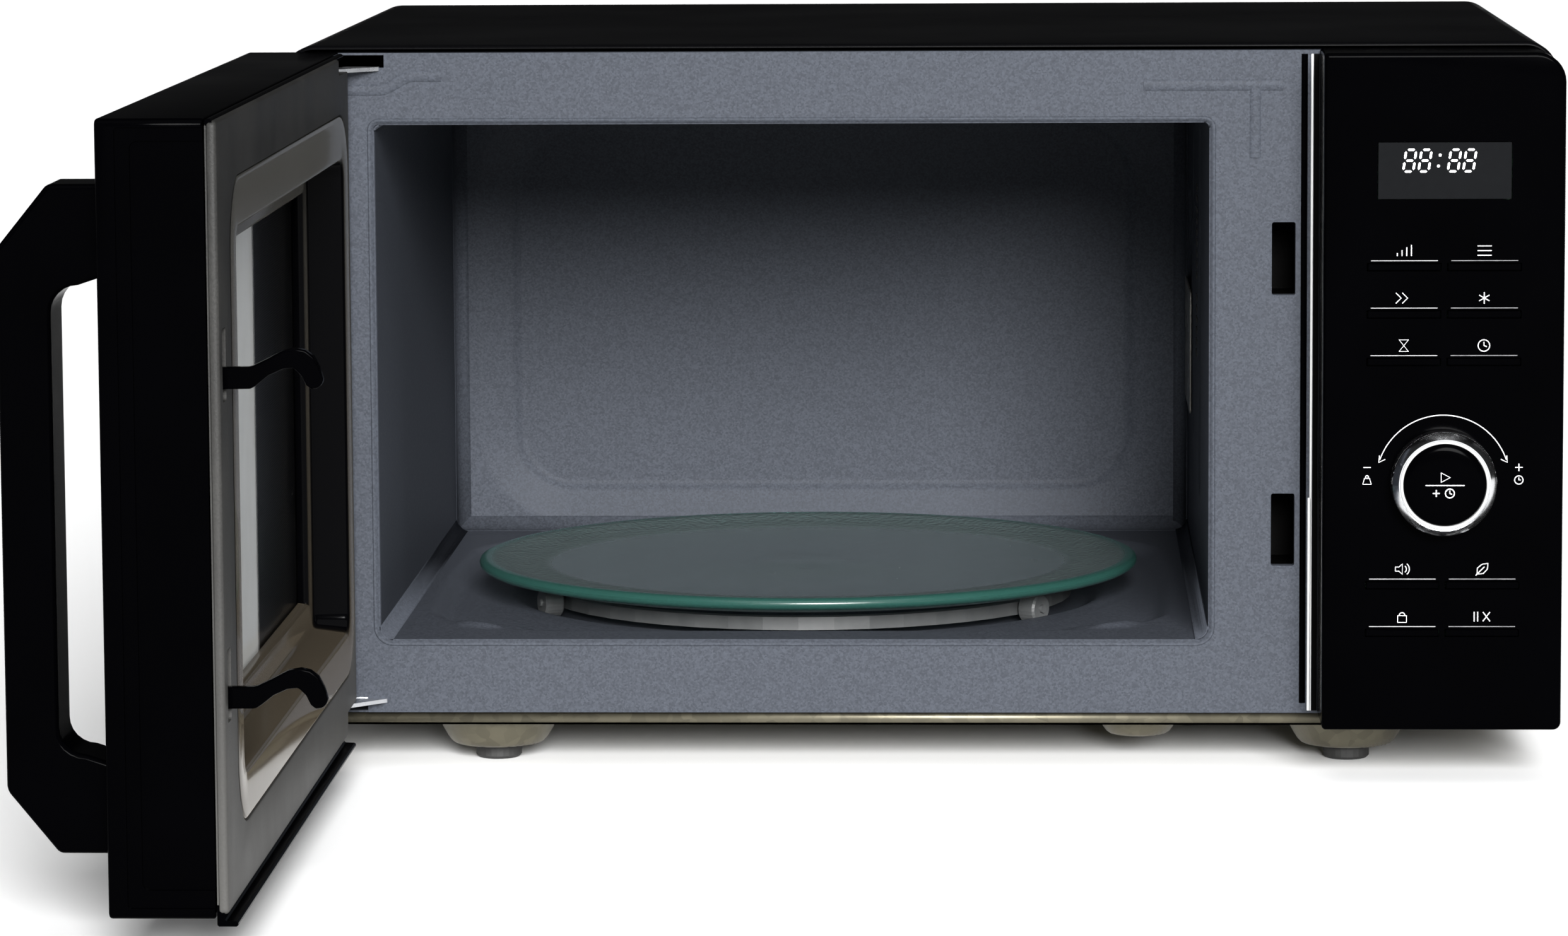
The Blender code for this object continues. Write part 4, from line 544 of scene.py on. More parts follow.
def rubber():
    """Black rubber with a dull bloom."""
    made = Finish("rubber")
    bloom = made.noise(380.0, 4.0)
    made.tone(bloom, (0.006, 0.006, 0.006), (0.026, 0.026, 0.025))
    made.feed("Roughness", bloom * 0.2 + 0.62)
    return made.bump(bloom, 0.0001, 0.5)


def mica():
    """Pressed mica board: overlapping brown-grey flakes."""
    made = Finish("mica")
    flake = made.flakes(260.0)
    made.tone(flake, (0.13, 0.125, 0.115), (0.26, 0.25, 0.23))
    made.feed("Roughness", flake * 0.3 + 0.25)
    return made.bump(flake, 0.00005, 0.4)


def laminations():
    """Stacked steel sheets under varnish."""
    made = Finish("laminations", Metallic=0.7)
    stack = made.noise(1800.0, 1.0, (0.01, 1, 0.01))
    made.tone(stack, (0.05, 0.05, 0.055), (0.14, 0.14, 0.15))
    made.feed("Roughness", stack * 0.25 + 0.3)
    return made.bump(stack, 0.0001, 0.6)


def coil():
    """Layers of enamelled wire under tape."""
    made = Finish("coil", Metallic=0.5)
    wires = made.noise(1400.0, 1.0, (0.02, 0.02, 1))
    made.tone(wires, (0.28, 0.09, 0.03), (0.58, 0.24, 0.09))
    made.feed("Roughness", wires * 0.3 + 0.25)
    return made.bump(wires, 0.0002, 0.6)


def circuit_board():
    """Green solder mask with tracks showing through."""
    made = Finish("circuit_board")
    track = made.ramp(made.cells(170.0), [(0.0, (0, 0, 0)), (0.5, (0, 0, 0)), (0.56, (1, 1, 1))])
    made.tone(track, (0.02, 0.12, 0.05), (0.05, 0.22, 0.1))
    made.feed("Roughness", made.noise(300.0, 2.0) * 0.2 + 0.3)
    return made.bump(track, 0.00005, 0.5)


def aluminium():
    """Bare sheet and castings, lightly scratched."""
    made = Finish("aluminium", Metallic=1.0)
    scratch = made.noise(900.0, 2.0, (1, 0.05, 1))
    made.tone(scratch, (0.5, 0.51, 0.52), (0.7, 0.71, 0.72))
    made.feed("Roughness", scratch * 0.25 + 0.25)
    return made.bump(scratch, 0.00004, 0.4)


def display_filter():
    """The smoked filter over the display."""
    made = Finish("display_filter", Specular_IOR_Level=0.01)
    made.tone(made.noise(300.0, 2.0), shade(colours().display, 0.917), shade(colours().display, 1.083))
    made.feed("Roughness", made.noise(40.0, 2.0) * 0.1 + 0.18)
    return made


def lit_segment():
    """A lit display segment."""
    made = Finish("lit_segment", Base_Color=(0.9, 0.9, 0.9), Roughness=0.4)
    made.feed("Emission Color", made.mix(made.noise(900.0, 2.0), (0.93, 0.95, 1.0), (1.0, 1.0, 1.0)))
    made.feed("Emission Strength", 1.0)
    return made


def printed_mark_painted_glow():
    """Pad-printed ink, a little uneven, with a painted glow: the ink gives out light of its own."""
    made = Finish("printed_mark_painted_glow", Roughness=0.5)
    ink = made.noise(1200.0, 2.0)
    made.tone(ink, (0.78, 0.79, 0.81), colours().mark)
    # Painted light: the ink glows, so that it stays bright whatever the lighting.
    made.feed("Emission Color", made.mix(ink, (0.7, 0.71, 0.73), (0.85, 0.86, 0.88)))
    made.feed("Emission Strength", 0.35)
    return made


def painted_hole_shade():
    """Painted shade: the dark that shows through a small opening."""
    made = Finish("painted_hole_shade", Roughness=0.9)
    # Painted shade: a near-black colour in place of the inside of a hole.
    made.tone(made.noise(400.0, 2.0), (0.0012, 0.0012, 0.0013), (0.004, 0.004, 0.0042))
    return made


FINISHES = {
    "case_black": case_black,
    "gloss_black": gloss_black,
    "textured_black": textured_black,
    "cavity_grey": enamel,
    "galvanised": galvanised,
    "zinc": bright_zinc,
    "laminations": laminations,
    "copper_coil": coil,
    "clear_glass": tray_glass,
    "dark_glass": dark_glass,
    "display": display_filter,
    "chrome": chrome,
    "pale_plastic": pale_plastic,
    "white_plastic": white_plastic,
    "mica": mica,
    "board_green": circuit_board,
    "spring_steel": bright_zinc,
    "foot_rubber": rubber,
    "aluminium": aluminium,
    "grained_cover": grained_cover,
    "frame_gloss": frame_gloss,
    "painted_edge_highlight": painted_edge_highlight,
    "painted_key_highlight": painted_key_highlight,
    "screen": screen_sheet,
    "film": film,
    "segment": lit_segment,
    "mark": printed_mark_painted_glow,
    "hole": painted_hole_shade,
}
MADE = {}


def finish(name):
    if name not in MADE:
        MADE[name] = FINISHES[name]().material
    return MADE[name]


# ---- Shapes ----


def arc(centre, radius, start_deg, end_deg, steps):
    angles = [math.radians(start_deg + (end_deg - start_deg) * i / steps) for i in range(steps + 1)]
    return [(centre[0] + radius * math.cos(a), centre[1] + radius * math.sin(a)) for a in angles]


def rounded(low, high, radii, steps=8):
    """A rectangle's outline, anticlockwise. The radii start at the lower left."""
    if not isinstance(radii, tuple):
        radii = (radii,) * 4
    corners = (
        (low[0], low[1], 1, 1),
        (high[0], low[1], -1, 1),
        (high[0], high[1], -1, -1),
        (low[0], high[1], 1, -1),
    )
    points = []
    for i, ((x, z, right, up), radius) in enumerate(zip(corners, radii)):
        radius = max(radius, 0.01 * MM)
        points += arc((x + right * radius, z + up * radius), radius, 180 + 90 * i, 270 + 90 * i, steps)
    return points


def inset(low, high, by):
    """A rectangle's corners, moved inward."""
    return (low[0] + by, low[1] + by), (high[0] - by, high[1] - by)


def to_mesh(name, points, faces):
    mesh = bpy.data.meshes.new(name)
    mesh.from_pydata([tuple(point) for point in points], [], faces)
    build = bmesh.new()
    build.from_mesh(mesh)
    bmesh.ops.remove_doubles(build, verts=build.verts, dist=0.000002)
    bmesh.ops.recalc_face_normals(build, faces=build.faces)
    build.to_mesh(mesh)
    build.free()
    return mesh


def skin(name, rings, start=False, end=False, wrap=False):
    """A mesh through rings of equally many points. start and end fill the first and last ring,
    and wrap joins the last ring to the first."""
    count = len(rings[0])
    points = [point for ring in rings for point in ring]
    faces = []
    spans = len(rings) if wrap else len(rings) - 1
    for i in range(spans):
        a = i * count
        b = ((i + 1) % len(rings)) * count
        for j in range(count):
            k = (j + 1) % count
            faces.append((a + j, a + k, b + k, b + j))
    if start:
        faces.append(tuple(range(count)))
    if end:
        faces.append(tuple((len(rings) - 1) * count + j for j in range(count)))
    return to_mesh(name, points, faces)


def upright(outline, y):
    """A flat outline in X and Z, stood up at a depth."""
    return [(x, y, z) for x, z in outline]


def stepped(name, low, high, radius, steps, **ends):
    """A stack of rounded rectangles: each step is an inset from the given box and a depth."""
    rings = []
    for by, y in steps:
        smaller = inset(low, high, by)
        corner = tuple(
            max(r - by, 0.3 * MM) for r in radius
        ) if isinstance(radius, tuple) else max(radius - by, 0.3 * MM)
        rings.append(upright(rounded(*smaller, corner), y))
    return skin(name, rings, **ends)


def slab(name, outlines, near, far, facing="Y"):
    """Flat outlines, holes included, extruded between two depths."""
    curve = bpy.data.curves.new(name, "CURVE")
    curve.dimensions = "2D"
    curve.fill_mode = "BOTH"
    curve.extrude = abs(far - near) / 2
    for outline in outlines:
        spline = curve.splines.new("POLY")
        spline.points.add(len(outline) - 1)
        for point, (across, up) in zip(spline.points, outline):
            point.co = (across, up, 0, 1)
        spline.use_cyclic_u = True
    middle = (near + far) / 2
    turn = {
        "Z": Matrix.Translation((0, 0, middle)),
        "Y": Matrix.Translation((0, middle, 0)) @ Matrix.Rotation(math.radians(90), 4, "X"),
        "X": Matrix.Translation((middle, 0, 0)) @ Matrix(
            ((0, 0, 1, 0), (1, 0, 0, 0), (0, 1, 0, 0), (0, 0, 0, 1))
        ),
    }[facing]
    mesh = curve_to_mesh(curve)
    mesh.transform(turn)
    return mesh


def curve_to_mesh(curve):
    drawn = bpy.data.objects.new(curve.name, curve)
    bpy.context.scene.collection.objects.link(drawn)
    mesh = bpy.data.meshes.new_from_object(drawn.evaluated_get(bpy.context.evaluated_depsgraph_get()))
    bpy.data.objects.remove(drawn)
    build = bmesh.new()
    build.from_mesh(mesh)
    bmesh.ops.remove_doubles(build, verts=build.verts, dist=0.000002)
    bmesh.ops.dissolve_limit(build, angle_limit=math.radians(0.1), verts=build.verts, edges=build.edges)
    bmesh.ops.recalc_face_normals(build, faces=build.faces)
    build.to_mesh(mesh)
    build.free()
    mesh.materials.clear()
    return mesh


def tube(name, path, radius, closed=False, sides=2):
    """A round bar along points."""
    curve = bpy.data.curves.new(name, "CURVE")
    curve.dimensions = "3D"
    curve.bevel_depth = radius
    curve.bevel_resolution = sides
    curve.use_fill_caps = True
    spline = curve.splines.new("POLY")
    spline.points.add(len(path) - 1)
    for point, place in zip(spline.points, path):
        point.co = (*place, 1)
    spline.use_cyclic_u = closed
    return curve_to_mesh(curve)


def turned(name, profile, centre, along="Z", steps=None):
    """A profile of (radius, height) points turned about an axis."""
    steps = steps or sizes().round_steps
    rings = []
    for radius, height in profile:
        ring = []
        for i in range(steps):
            a = 2 * math.pi * i / steps
            flat = (radius * math.cos(a), radius * math.sin(a), height)
            spot = Vector(flat) if along == "Z" else Vector((flat[0], -flat[2], flat[1]))
            ring.append(Vector(centre) + spot)
        rings.append(ring)
    return skin(name, rings, start=profile[0][0] > 0, end=profile[-1][0] > 0)


def block(name, low, high):
    mesh = bpy.data.meshes.new(name)
    build = bmesh.new()
    low, high = Vector(low), Vector(high)
    place = Matrix.Translation((low + high) / 2) @ Matrix.Diagonal((*(high - low), 1))
    bmesh.ops.create_cube(build, size=1, matrix=place)
    build.to_mesh(mesh)
    build.free()
    return mesh


def merged(name, meshes):
    """Several meshes as one."""
    build = bmesh.new()
    for mesh in meshes:
        build.from_mesh(mesh)
    whole = bpy.data.meshes.new(name)
    build.to_mesh(whole)
    build.free()
    return whole


def relief(name, corner, across, up, height, cells):
    """A wall as a fine grid. height gives how far each point stands along the wall's normal,
    from its distances across and up."""
    corner, across, up = np.array(corner), np.array(across), np.array(up)
    wide, tall = cells
    u, v = np.meshgrid(np.linspace(0, 1, wide + 1), np.linspace(0, 1, tall + 1))
    normal = np.cross(across, up)
    normal = normal / np.linalg.norm(normal)
    out = height(u * np.linalg.norm(across), v * np.linalg.norm(up))
    points = corner + u[..., None] * across + v[..., None] * up + out[..., None] * normal
    index = np.arange((wide + 1) * (tall + 1)).reshape(tall + 1, wide + 1)
    quads = np.stack(
        [index[:-1, :-1], index[:-1, 1:], index[1:, 1:], index[1:, :-1]], axis=-1
    ).reshape(-1, 4)
    mesh = bpy.data.meshes.new(name)
    mesh.from_pydata(points.reshape(-1, 3).tolist(), [], quads.tolist())
    return mesh


def smooth(t):
    t = np.clip(t, 0, 1)
    return t * t * (3 - 2 * t)


def box_distance(u, v, centre, half, radius):
    """How far outside a rounded rectangle a point of a wall is. Inside it is below zero."""
    du = np.abs(u - centre[0]) - (half[0] - radius)
    dv = np.abs(v - centre[1]) - (half[1] - radius)
    outside = np.hypot(np.maximum(du, 0), np.maximum(dv, 0))
    return outside + np.minimum(np.maximum(du, dv), 0) - radius


def fillet(name, start, end, first, second, radius, steps=6):
    """The rounded strip in the corner between two walls, whose inward normals are given."""
    start, end, first, second = (Vector(v) for v in (start, end, first, second))
    points, faces = [], []
    for base in (start, end):
        centre = base + radius * (first + second)
        for i in range(steps + 1):
            a = math.pi / 2 * i / steps
            points.append(centre - radius * (math.cos(a) * first + math.sin(a) * second))
    for i in range(steps):
        faces.append((i, i + 1, steps + 2 + i, steps + 1 + i))
    mesh = bpy.data.meshes.new(name)
    mesh.from_pydata([tuple(point) for point in points], [], faces)
    return mesh


def piece(name, mesh, material, body="cabinet", replaces=(), angle=35, bevel=0.0, segments=3):
    """Adds a finished piece to the scene. It rides on its body, and may stand for CAD nodes."""
    made = bpy.data.objects.new(name, mesh)
    bpy.context.scene.collection.objects.link(made)
    mesh.materials.clear()
    mesh.materials.append(finish(material))
    mesh.shade_smooth()
    mesh.set_sharp_from_angle(angle=math.radians(angle))
    if bevel:
        rounding = made.modifiers.new("rounding", "BEVEL")
        rounding.width = bevel
        rounding.segments = segments
        rounding.limit_method = "ANGLE"
        rounding.angle_limit = math.radians(30)
        rounding.harden_normals = True
    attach(made, body)
    if replaces:
        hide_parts(*replaces)
    return made


def thicken(made, thickness):
    """Gives a surface the thickness of its sheet, behind its face."""
    wall = made.modifiers.new("sheet", "SOLIDIFY")
    wall.thickness = thickness
    wall.offset = -1


def on_door(mesh):
    """Turns a mesh that was made in the closed place with the door."""
    mesh.transform(SWING)
    return mesh


def cut(made, cutters):
    """Cuts a piece with the joined cutters, and keeps only the result."""
    tool = bpy.data.objects.new("tool", merged("tool", cutters))
    bpy.context.scene.collection.objects.link(tool)
    tool.parent = made.parent
    step = made.modifiers.new("openings", "BOOLEAN")
    step.operation = "DIFFERENCE"
    step.object = tool
    graph = bpy.context.evaluated_depsgraph_get()
    result = bpy.data.meshes.new_from_object(made.evaluated_get(graph))
    made.modifiers.clear()
    made.data = result
    bpy.data.objects.remove(tool)
    result.shade_smooth()
    result.set_sharp_from_angle(angle=math.radians(35))
    return made


def marks(name, lines, y, width, body="cabinet"):
    """Printed lines on a face that looks towards -Y. Each line is a list of points in X and Z."""
    strokes = []
    for line in lines:
        closed = len(line) > 2 and line[0] == line[-1]
        path = [(x, 0, z) for x, z in (line[:-1] if closed else line)]
        strokes.append(tube("stroke", path, width / 2, closed, 1))
    mesh = merged(name, strokes)
    mesh.transform(Matrix.Translation((0, y, 0)) @ Matrix.Diagonal((1, 0.25, 1, 1)))
    piece(name, mesh, "mark", body, angle=60)


# ---- Operators ----


class Maker:
    """What the oven's operators share."""

    bl_options = {"REGISTER", "UNDO"}

    def execute(self, context):
        self.make()
        return {"FINISHED"}


class OVEN_OT_finishes(Maker, bpy.types.Operator):
    """Give each CAD node that stays in view the finish of its material slot"""

    bl_idname = "oven.finishes"
    bl_label = "Finishes"

    def make(self):
        for row in frame["record"]["subparts"]:
            mesh = NODES[row["node"]].data
            mesh.materials.clear()
            mesh.materials.append(finish(row["material_slot"]))
            mesh.shade_smooth()
            mesh.set_sharp_from_angle(angle=math.radians(32))


class OVEN_OT_case(Maker, bpy.types.Operator):
    """Build the folded wrapper with its rolled front edge"""

    bl_idname = "oven.case"
    bl_label = "Case"

    def outline(self, by):
        radius = 12 * MM - by
        left, right = CASE_LOW.x + by, CASE_HIGH.x - by
        top = CASE_HIGH.z - by
        points = [(left, CASE_LOW.z)]
        points += [(left, CASE_LOW.z + (top - radius - CASE_LOW.z) * i / 8) for i in range(1, 8)]
        points += arc((left + radius, top - radius), radius, 180, 90, 12)
        points += arc((right - radius, top - radius), radius, 90, 0, 12)
        points += [(right, top - radius - (top - radius - CASE_LOW.z) * i / 8) for i in range(1, 8)]
        return points + [(right, CASE_LOW.z)]

    def make(self):
        near, far = CASE_LOW.y, CASE_HIGH.y
        hem = [
            (1.1, 0.0), (0.45, 0.15), (0.12, 0.45), (0.0, 0.9), (0.0, 4.2), (0.35, 4.6),
            (0.35, 5.2), (0.0, 5.6), (0.0, 9.5), (0.3, 9.9), (0.3, 10.4), (0.0, 10.8),
        ]  # fmt: skip
        outer = [(by * MM, near + y * MM) for by, y in hem]
        outer += [(0.0, far - 1 * MM), (0.15 * MM, far - 0.4 * MM), (0.5 * MM, far)]
        rings = [upright(self.outline(by), y) for by, y in outer]
        rings += [upright(self.outline(SHEET + 0.5 * MM), y) for y in (far, near)]
        whole = piece(
            "case_wrapper", self.strip(rings), "case_black", replaces=["outer_case"]
        )
        right = CASE_HIGH.x
        slots = []
        for i in range(9):
            z = CASE_HIGH.z - 60 * MM - i * 7 * MM
            outline = rounded((far - 105 * MM, z), (far - 45 * MM, z + 3 * MM), 1.45 * MM, 5)
            slots.append(slab("slot", [outline], right - 6 * MM, right + 4 * MM, "X"))
        cut(whole, slots)

    def strip(self, rings):
        count = len(rings[0])
        points = [point for ring in rings for point in ring]
        faces = []
        for i in range(len(rings)):
            a, b = i * count, ((i + 1) % len(rings)) * count
            faces += [(a + j, a + j + 1, b + j + 1, b + j) for j in range(count - 1)]
        faces.append(tuple(i * count for i in range(len(rings))))
        faces.append(tuple(i * count + count - 1 for i in range(len(rings))))
        return to_mesh("case_wrapper", points, faces)


class OVEN_OT_front_plate(Maker, bpy.types.Operator):
    """Build the front plate with its mouth, latch slots, hinge notches and pressed ribs"""

    bl_idname = "oven.front_plate"
    bl_label = "Front plate"

    def make(self):
        corner = 9.6 * MM
        low, high = (PLATE_LOW.x, PLATE_LOW.z), (PLATE_HIGH.x, PLATE_HIGH.z)
        mouth_low, mouth_high = (CAVITY_LEFT, CAVITY_FLOOR), (CAVITY_RIGHT, CAVITY_TOP)
        radii = (sizes().mouth_corner, sizes().mouth_corner, 2 * MM, 2 * MM)
        border = rounded(low, high, (1 * MM, 1 * MM, corner, corner), 6)
        lip = 2.4 * MM
        mouth = rounded(*inset(mouth_low, mouth_high, -lip), tuple(r + lip for r in radii), 6)
        slots = [rounded(*box, 0.8 * MM, 3) for box in latch_slots()]
        window = rounded(
            (PANEL_LOW.x + 6 * MM, low[1] + 12 * MM), (PANEL_HIGH.x - 8 * MM, high[1] - 14 * MM), 2 * MM, 3
        )
        plate = slab("front_plate_skin", [border, mouth, window, *slots], FACE, FACE + SHEET)
        face = piece("front_plate_skin", plate, "cavity_grey", replaces=["front_plate"])
        notch = block(
            "notch",
            (low[0] - 2 * MM, FACE - 2 * MM, high[1] - 5.6 * MM),
            (low[0] + 36.5 * MM, FACE + 3 * MM, high[1] + 2 * MM),
        )
        foot = block(
            "notch",
            (low[0] - 2 * MM, FACE - 2 * MM, low[1] - 2 * MM),
            (low[0] + 27 * MM, FACE + 3 * MM, low[1] + 6 * MM),
        )
        cut(face, [notch, foot])
        rounding = face.modifiers.new("rounding", "BEVEL")
        rounding.width = 0.35 * MM
        rounding.segments = 2
        rounding.limit_method = "ANGLE"
        rounding.angle_limit = math.radians(40)
        rim = stepped(
            "plate_rim", low, high, (1 * MM, 1 * MM, corner, corner),
            [
                (0.0, FACE + 0.6 * MM), (0.0, PLATE_HIGH.y), (SHEET, PLATE_HIGH.y), (SHEET, FACE + 0.6 * MM)
            ], wrap=True,
        )  # fmt: skip
        piece("front_plate_rim", rim, "cavity_grey")
        lips = [self.mouth_lip(mouth_low, mouth_high, radii, lip)]
        for box in latch_slots():
            steps = [
                (-0.5 * MM, FACE - 0.02 * MM), (-0.05 * MM, FACE + 0.25 * MM), (0.02 * MM, FACE + 5 * MM)
            ]
            lips.append(stepped("lip", box[0], box[1], (0.8 * MM,) * 4, steps))
        piece("front_plate_lips", merged("front_plate_lips", lips), "cavity_grey")
        self.ribs(low, high)

    def mouth_lip(self, low, high, radii, lip):
        """The rolled edge round the mouth: a low bead, and then a curve into the cavity."""
        bead = sizes().bead
        steps = [
            (-lip - 0.3 * MM, FACE + 0.3 * MM), (-lip, FACE), (-lip + 0.3 * MM, FACE - 0.5 * bead),
            (
                -lip + 0.7 * MM, FACE - 0.6 * bead
            ), (-lip + 1.1 * MM, FACE - 0.4 * bead), (-1.0 * MM, FACE + 0.1 * MM),
            (-0.4 * MM, FACE + 0.5 * MM), (-0.1 * MM, FACE + 1.1 * MM), (0.0, FACE + 1.8 * MM),
        ]  # fmt: skip
        rings = []
        for by, y in steps:
            outline = rounded(*inset(low, high, by), tuple(r - by for r in radii))
            rings.append(upright(outline, y))
        return skin("mouth_lip", rings)

    def ribs(self, low, high):
        left, bottom = CASE_LOW.x, SILL
        curl = [(left + 10 * MM, bottom + 242 * MM), (left + 37 * MM, bottom + 242 * MM)]
        curl += s_bend(
            curl[-1], (left + 50 * MM, bottom + 247.3 * MM)
        ) + [(left + 61 * MM, bottom + 247.3 * MM)]
        ribs = [upright(curl, 0)]
        beam = bottom + 242.9 * MM
        ribs.append([(left + 330.4 * MM, 0, beam), (left + 383.5 * MM, 0, beam)])
        ribs.append([(left + 373 * MM, 0, beam), (left + 373 * MM, 0, bottom + 215.1 * MM)])
        meshes = [tube("rib", path, 2.15 * MM, False, 4) for path in ribs]
        whole = merged("pressed_ribs", meshes)
        whole.transform(Matrix.Translation((0, FACE, 0)) @ Matrix.Diagonal((1, 0.26, 1, 1)))
        piece("pressed_ribs", whole, "cavity_grey", angle=70)


def s_bend(start, end, steps=8):
    """Points of a smooth step from one height to another."""
    points = []
    for i in range(1, steps + 1):
        t = i / steps
        rise = t * t * (3 - 2 * t)
        points.append((start[0] + (end[0] - start[0]) * t, start[1] + (end[1] - start[1]) * rise))
    return points


def latch_slots():
    """The two latch slots in the front plate, as corners in X and Z."""
    middle = (HOOK_LOW.x + HOOK_HIGH.x) / 2 + 1.4 * MM
    across, up = SLOT_WIDTH / 2, SLOT_HEIGHT / 2
    return [((middle - across, z - up), (middle + across, z + up)) for z in HOOK_HEIGHTS]


class OVEN_OT_cavity(Maker, bpy.types.Operator):
    """Build the cavity's walls with the pressed dish, the roller track, the bulge and the air holes"""

    bl_idname = "oven.cavity"
    bl_label = "Cavity"

    def make(self):
        front = FACE + 0.6 * MM
        left, right, floor, top = CAVITY_LEFT, CAVITY_RIGHT, CAVITY_FLOOR, CAVITY_TOP
        rear = CAVITY_REAR - sizes().dish_depth
        wide, tall, deep = right - left, top - floor, rear - front
        walls = [
            relief("rear", (left, rear, floor), (wide, 0, 0), (0, 0, tall), self.rear_dish, (180, 130)),
            relief("floor", (left, front, floor), (wide, 0, 0), (0, deep, 0), self.track, (200, 200)),
            relief("left", (left, rear, floor), (0, -deep, 0), (0, 0, tall), self.side, (70, 50)),
            relief("right", (right, front, floor), (0, deep, 0), (0, 0, tall), self.bulge, (150, 110)),
            relief("ceiling", (left, rear, top), (wide, 0, 0), (0, -deep, 0), self.side, (40, 40)),
        ]
        for mesh, inward in zip(walls, ((0, -1, 0), (0, 0, 1), (1, 0, 0), (-1, 0, 0), (0, 0, -1))):
            face_towards(mesh, Vector(inward))
        r = sizes().wall_fillet
        posts = [((left, rear), (1, 0, 0)), ((right, rear), (-1, 0, 0))]
        for (x, y), inward in posts:
            walls.append(fillet("post", (x, y, floor), (x, y, top), inward, (0, -1, 0), r))
        for z, up in ((floor, 1), (top, -1)):
            walls.append(fillet("sill", (left, rear, z), (right, rear, z), (0, -1, 0), (0, 0, up), r))
            walls.append(
                fillet(
                    "sill",
                    (left, front, z),
                    (left, rear, z),
                    (1, 0, 0),
                    (0, 0, up),
                    5 * MM if up > 0 else 2 * MM,
                )
            )
            walls.append(
                fillet(
                    "sill",
                    (right, front, z),
                    (right, rear, z),
                    (-1, 0, 0),
                    (0, 0, up),
                    5 * MM if up > 0 else 2 * MM,
                )
            )
        whole = merged("cavity_walls", walls)
        thicken(
            piece(
                "cavity_walls",
                whole,
                "cavity_grey",
                replaces=["cavity_liner"],
                angle=60,
            ),
            0.5 * MM,
        )
        self.air_holes()
        self.wave_cover()

    def side(self, u, v):
        return 0 * u

    def rear_dish(self, u, v):
        """A wide rounded dish, pressed towards the rear, with a crisp fold where its floor begins."""
        centre = ((CAVITY_RIGHT - CAVITY_LEFT) / 2 + 1 * MM, 98 * MM)
        outer = box_distance(u, v, centre, (centre[0] - 11.5 * MM, 95 * MM), 40 * MM)
        depth = sizes().dish_depth
        return -depth * (
            0.1 * smooth(-outer / (3 * MM)) + 0.55 * smooth(-outer / (17 * MM)) + 0.35 * smooth(
                (-outer - 14 * MM) / (3.5 * MM)
            )
        )

    def track(self, u, v):
        """The floor: a barrel-shaped step inside the walls, and the round roller track in it."""
        centre = (TURN_CENTRE.x - CAVITY_LEFT, TURN_CENTRE.y - FACE - 0.6 * MM)
        radius = np.hypot(u - centre[0], v - centre[1])
        edge = (TRAY_HIGH.x - TRAY_LOW.x) / 2 - 14 * MM
        bow = 8 * MM * np.cos((v - centre[1]) / (150 * MM) * 1.5)
        barrel = box_distance(u, v, (centre[0], centre[1] + 4 * MM), (143 * MM, 142 * MM), 55 * MM) - bow
        step = -4 * MM * smooth(-barrel / (9 * MM))
        deep = CAVITY_FLOOR - TRACK_FLOOR - 4 * MM
        sunk = -deep * smooth((edge - radius) / (8 * MM))
        middle = 3.5 * MM * smooth((52 * MM - radius) / (6 * MM)) * smooth((radius - 10 * MM) / (4 * MM))
        pads = sum(
            1.8 * MM * smooth(
                (17 * MM - np.hypot(u - centre[0] - x * 120 * MM, v - centre[1] + 118 * MM)) / (8 * MM)
            )
            for x in (-1, 1)
        )
        return step + sunk + middle + pads

    def bulge(self, u, v):
        """The right wall: a flat-topped bulge near the rear, and two upright ribs."""
        shape = box_distance(u, v, (289 * MM, 131.5 * MM), (30 * MM, 20.5 * MM), 7 * MM)
        bulge = 11 * MM * np.clip(-shape / (9.5 * MM), 0, 1)
        tall = CAVITY_TOP - CAVITY_FLOOR
        ribs = 0 * u
        for middle, half, foot in ((131, 15, 38), (228, 9, 53)):
            centre = (middle * MM, (foot * MM + tall - 12 * MM) / 2)
            rib = box_distance(u, v, centre, (half * MM, centre[1] - foot * MM), 8 * MM)
            ribs = ribs + 1.4 * MM * smooth(-rib / (3 * MM))
        return np.maximum(bulge, ribs)

    def air_holes(self):
        """Two columns of air holes beside the lamp, and a few lower ones."""
        holes = []
        for column in (126, 134):
            for row in range(16):
                if row == 9:
                    continue
                z = CAVITY_FLOOR + 165.3 * MM - row * 4.47 * MM
                place = (CAVITY_RIGHT - 1.45 * MM, FACE + column * MM, z)
                holes.append(disc("hole", place, 1.35 * MM, 0.35 * MM))
        # Each hole is a dark disc on the wall: painted shade for the dark inside the hole.
        piece("air_holes", merged("air_holes", holes), "hole")

    def wave_cover(self):
        low, high = MICA_LOW, MICA_HIGH
        outline = rounded((low.y, low.z), (high.y, high.z), 3 * MM, 5)
        sheet = slab("wave_cover", [outline], low.x - 0.1 * MM, high.x, "X")
        piece("wave_cover", sheet, "mica", replaces=["mica_cover"], bevel=0.2 * MM)


def disc(name, place, radius, depth):
    """A short round plug whose face looks towards -X."""
    mesh = turned(
        name, [(0, 0), (radius * 0.92, 0), (radius, 0.1 * MM), (radius, depth)], (0, 0, 0), steps=12
    )
    mesh.transform(Matrix.Translation(place) @ Matrix.Rotation(math.radians(90), 4, "Y"))
    return mesh


def face_towards(mesh, inward):
    """Turns a wall's faces so that its middle looks inward."""
    total = Vector((0, 0, 0))
    for polygon in mesh.polygons:
        total += polygon.normal * polygon.area
    if total.dot(inward) < 0:
        mesh.flip_normals()


